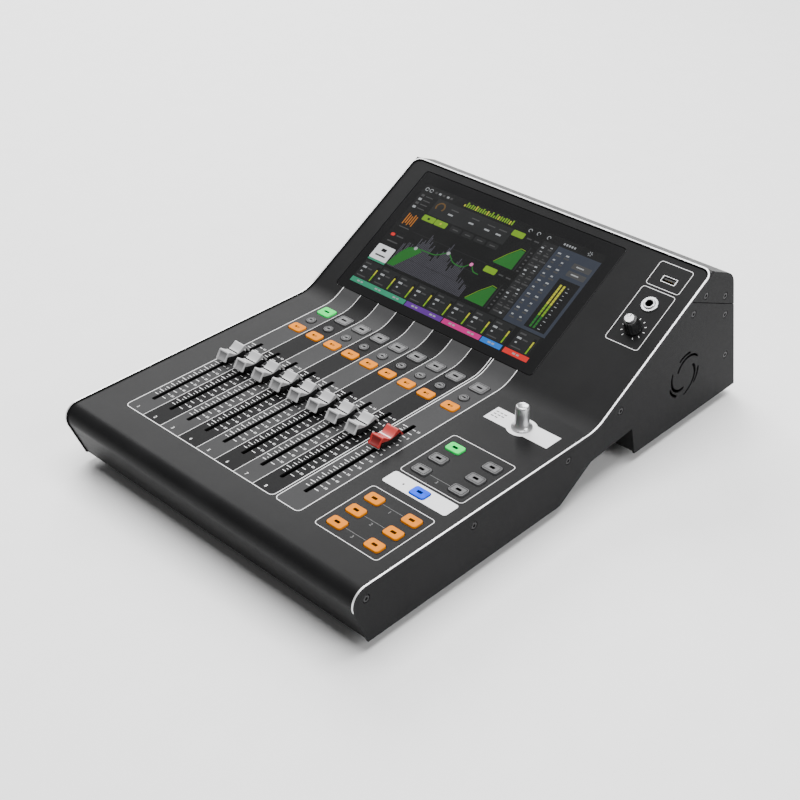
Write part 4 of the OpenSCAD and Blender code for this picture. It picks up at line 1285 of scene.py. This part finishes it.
def screen_left_column():
    for k, w in enumerate((128.5, 124, 119.5, 115)):
        tile("light" if k % 2 else "dim", -126, -122.5, w - 1.4, w + 1.0, 1, 0.5)
        tile("dim", -120.5, -112.5, w - 0.8, w + 0.2)
    for k in range(5):
        x = -123.4 + 2.5 * k
        tile("orange", x, x + 1.2, 95 + (k % 2) * 1.5, 107.5 - (k % 3) * 1.2, 2, 0.2)
    tile("dim", -123.5, -112, 91.4, 92.4)
    tile("red", -125.2, -120.6, 80.4, 83.6, 2, 1.5)
    tile("dim", -118.5, -110.5, 81.2, 82.6, 2)
    tile("dim", -124, -112, 74.2, 75.6, 2)
    tile("paper", -128.5, -108.5, 53.2, 69.0, 1, 1)
    tile("teal", -128.5, -108.5, 51.2, 53.0)
    tile("back", -121.5, -116, 62.4, 65.6, 2, 0.4)
    tile("dim", -124.5, -113, 57.2, 58.8, 2)


def screen_dials():
    """Dial panel and the row of buttons under it"""
    tile("panel", -107, -20, 113, 131, 1, 1)
    line("dial", [Vector((-99.5, 123.5)) + 4.4 * along(a) for a in range(-40, 221, 20)], 1.5)
    for x in (-88, -64, -46, -33):
        tile("dim", x, x + 8.5, 125, 126.2, 2)
        tile("light", x, x + 5.5, 119.6, 121.2, 2)
    tile("lime", -108.5, -94.5, 105.8, 111.8, 2, 1.2)
    tile("yellow", -88.6, -86.4, 107.8, 110, 4, 1.0)
    tile("lime", -94, -80.5, 105.8, 111.8, 2, 1.2)
    tile("back", -102.8, -100.4, 107.8, 109.8, 4)
    for x in (-76, -62, -48, -34):
        tile("panel", x, x + 12, 106, 111.4, 2, 1.2)
        tile("dim", x + 3, x + 9, 108.0, 109.2, 3)


def screen_spectrum():
    """Spectrum bars with the equaliser curve over them"""
    tile("back", -107.5, -20, 52, 104)
    for w in (65.5, 79.0, 91.5):
        tile("panel", -107, -20.5, w - 0.25, w + 0.25, 2)
    for k in range(58):
        x = -106.5 + 1.46 * k
        h = 18 + 17 * math.exp(-((x + 85) / 9) ** 2) + 20 * math.exp(-((x + 61) / 7) ** 2)
        h += 16 * math.exp(-((x + 43) / 6) ** 2) - 0.16 * (x + 64) + 4.0 * math.sin(k * 2.3) + 2.5 * math.sin(k * 5.1)
        tile("spectrum", x, x + 0.85, 53, 53 + max(3, min(47, h)), 2)
    curve = []
    for k in range(44):
        x = -107 + 2.0 * k
        w = 79 - 25 * math.exp(-max(0, x + 107) / 4.5) + 7 * math.exp(-((x + 60) / 7) ** 2)
        w += 6 * math.exp(-((x + 33) / 4) ** 2)
        curve.append(Vector((x, w)))
    line("green", curve, 1.0, 3)
    under = ((-106.5, 54), (-100, 54), (-84, 77), (-91, 79.3), (-99, 76.5), (-104, 68))
    screen_ink("green", 3).fill([Vector(p) for p in under])
    for x, w, dot in ((-33, 85, "pink"), (-60, 86, "light"), (-92, 78, "light")):
        tile(dot, x - 1.8, x + 1.8, w - 1.8, w + 1.8, 4, 1.7)


def screen_dynamics():
    """Two curves with the area under them"""
    for w0, w1, top in ((92.5, 123, 131), (51.5, 81.5, 90)):
        tile("back", -19, 11.5, w0, w1)
        tile("lime", -20, -7, top - 6, top, 2, 1.2)
        for x in (-4, 4):
            tile("dim", x, x + 5, top - 4, top - 2.6, 2)
        tile("panel", 5.2, 6.4, w0 + 2, w1 - 2, 2)
        for k in range(6):
            tile("dim", 8.2, 10.4, w0 + 3 + 4 * k, w0 + 4.4 + 4 * k, 2)
        under = ((-17, w0 + 2.5), (3.5, w0 + 2.5), (3.5, w1 - 8), (-1.5, w1 - 7.5), (-10, w0 + 13))
        screen_ink("green", 3).fill([Vector(p) for p in under])
        line("lime", [(-17, w0 + 3.5), (-10, w0 + 14), (-1.5, w1 - 6.5), (3.5, w1 - 7)], 0.5, 4)


def screen_values():
    """Columns of values"""
    tile("panel", 12.2, 26.8, 51.5, 131.5)
    for x in (13.6, 20.4):
        for k in range(12):
            w = 55 + 6.3 * k
            pick = (k * 7 + int(x) * 3) % 4
            tile("dim" if pick else "light", x, x + 2.6 + 1.3 * pick, w, w + 1.5, 2)
            tile("light" if pick == 1 else "dim", x + 1.2, x + 3.6, w + 2.7, w + 3.5, 2)


def screen_levels():
    """Panel with the main level meters"""
    tile("slate", 27.4, 71.4, 51, 132)
    for x in (30, 38.5):
        for k in range(10):
            w = 56 + 7.4 * k
            tile("dim", x, x + 5.2 - (k % 3), w, w + 1.6, 2)
            tile("light", x + 0.6, x + 2.8 + (k % 2), w + 2.8, w + 4.2, 2)
    tile("back", 47.6, 68.5, 54, 105.5, 2, 0.4)
    for x in (52.0, 55.6):
        for k in range(15):
            colour = "yellow" if k > 7 else "lime" if k > 3 else "green"
            tile(colour, x, x + 2.0, 55.5 + 3 * k, 58.2 + 3 * k, 3)
    for k in range(12):
        tile("light", 60.2, 60.2 + (1.4 if k % 2 else 2.6), 56 + 3.9 * k, 56.6 + 3.9 * k, 3)
    for w in (109.5, 117.5):
        tile("dim", 50, 68.5, w, w + 5.5, 2, 0.8)
        tile("light", 54, 61.5, w + 2.2, w + 3.4, 3)


def screen_cells():
    """Bottom row: a cell for each strip and the coloured bars under them"""
    for x in (-118, -96.5, -75, -53.5, -32, -10.5, 11, 32.5, 58):
        tile("panel", x - 10.2, x + 10.2, 31, 50)
        tile("dim", x - 8.5, x - 2, 46.2, 47.8, 2)
        tile("light", x - 8.5, x - 4, 41.6, 43.4, 2)
        tile("dim", x - 2.5, x + 2.5, 41.6, 43.0, 2)
        tile("light", x - 7.5, x - 5.5, 37.2, 38.6, 2)
        tile("dim", x - 8.5, x + 1.5, 32.8, 34.0, 2)
        tile("back", x + 6.2, x + 9.4, 31.6, 47, 2)
        tile("lime", x + 7.0, x + 8.5, 32, 38.5, 3)
        tile("yellow", x + 7.0, x + 8.5, 38.5, 44.2, 3)
    for colour, x0, x1 in (("teal", -128.5, -64), ("purple", -63, -21.5), ("magenta", -20.5, 21), ("blue", 22, 43.5),
                           ("red", 46, 71.4)):
        tile(colour, x0, x1, 25.5, 30.4)
        n = max(1, round((x1 - x0) / 21.4))
        for k in range(n):
            x = x0 + (x1 - x0) * (k + 0.5) / n
            tile("light", x - 3.5, x - 0.5, 27.3, 28.8, 3)
            tile("light", x + 0.6, x + 3.2, 27.3, 28.8, 3)


def make_screen():
    bm = bmesh.new()
    outer = rounded(GLASS_X0, GLASS_X1, GLASS_LOW, GLASS_TOP, 3)
    add_plate(bm, on_screen, outer, t=1.8, c=0.25, top=-0.05)
    make("glass_plate", bm, GLASS, "black_glass", ["touch_glass"])
    tile("back", -128.6, 71.4, 25, 140, 0)
    for draw in (screen_top_row, screen_left_column, screen_dials, screen_spectrum, screen_dynamics,
                 screen_values, screen_levels, screen_cells):
        draw()
    lit = {name: finish("ui_" + name, colour, 0.25, vary=0.06, grain=300, bump=0.0, glow=SCREEN_GLOW, self_lit=True,
                        specular=0.08, mottle=90) for name, colour in SCREEN_COLOURS.items()}
    for (name, level), ink in SCREEN_LAYERS.items():
        ink.done(f"ui_{name}_{level}", lit[name])


# ---- Nodes shown as they are ----

KEPT = {"circuit_boards": BOARD, "display_module": STEEL, "fader_frames": STEEL_BLACK,
        "fan_frame": PLASTIC_BLACK, "fan_rotor": PLASTIC_BLACK}


def dress_kept_nodes():
    for node, material in KEPT.items():
        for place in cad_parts[node].material_slots:
            place.material = material


# ---- Floor, light and camera ----

FLOOR_HALF = 40
WORLD_LIGHT = 0.16
# area lights: (name, place, aim, width and height, power)
LIGHTS = [("back_left", (-1.6, 0.95, 1.4), (-0.05, 0, 0.05), (1.6, 1.1), 62),
          ("overhead", (0.0, 0.1, 2.6), (0, 0, 0), (2.2, 2.2), 170),
          ("right", (2.0, 0.2, 1.3), (0.1, -0.1, 0.05), (1.0, 1.2), 28)]
CAMERA_AT = (0.6755, -0.7125, 0.6784)
CAMERA_AXIS = (-0.581, 0.598, -0.552)
CAMERA_ROLL = -0.42
CAMERA_LENS = 64.85


def make_stage():
    mesh = bpy.data.meshes.new("floor")
    mesh.from_pydata([(FLOOR_HALF * x, FLOOR_HALF * y, 0) for x, y in ((-1, -1), (1, -1), (1, 1), (-1, 1))],
                     [], [(0, 1, 2, 3)])
    floor = bpy.data.objects.new("floor", mesh)
    bpy.context.scene.collection.objects.link(floor)
    mesh.materials.append(finish("floor", (0.86, 0.86, 0.86), 0.75, vary=0.01, grain=40, bump=0.0, specular=0.2))
    world = bpy.data.worlds.new("studio")
    world.use_nodes = True
    world.node_tree.nodes["Background"].inputs["Color"].default_value = (1, 1, 1, 1)
    world.node_tree.nodes["Background"].inputs["Strength"].default_value = WORLD_LIGHT
    bpy.context.scene.world = world
    for name, at, aim, size, power in LIGHTS:
        data = bpy.data.lights.new(name, "AREA")
        data.shape = "RECTANGLE"
        data.size, data.size_y = size
        data.energy = power
        light = bpy.data.objects.new(name, data)
        light.location = at
        light.rotation_euler = (Vector(aim) - Vector(at)).to_track_quat("-Z", "Y").to_euler()
        bpy.context.scene.collection.objects.link(light)


def make_camera():
    data = bpy.data.cameras.new("camera")
    data.lens = CAMERA_LENS
    data.sensor_width = 36
    camera = bpy.data.objects.new("camera", data)
    camera.location = CAMERA_AT
    turn = Vector(CAMERA_AXIS).to_track_quat("-Z", "Y").to_matrix()
    camera.rotation_euler = (turn @ Matrix.Rotation(math.radians(CAMERA_ROLL), 3, "Z")).to_euler()
    bpy.context.scene.collection.objects.link(camera)
    bpy.context.scene.camera = camera


make_top_panel()
print_strips()
print_groups()
make_side_panel(-1, "left_side_panel")
make_side_panel(1, "right_side_panel")
make_rim()
make_cover()
make_base()
make_rear_panel()
make_xlr()
make_data_sockets()
make_power()
make_screws()
make_feet()
for number in range(1, STRIPS + 1):
    make_fader(number)
make_keys()
make_knobs()
make_screen()
dress_kept_nodes()
make_stage()
make_camera()

bpy.context.view_layer.update()
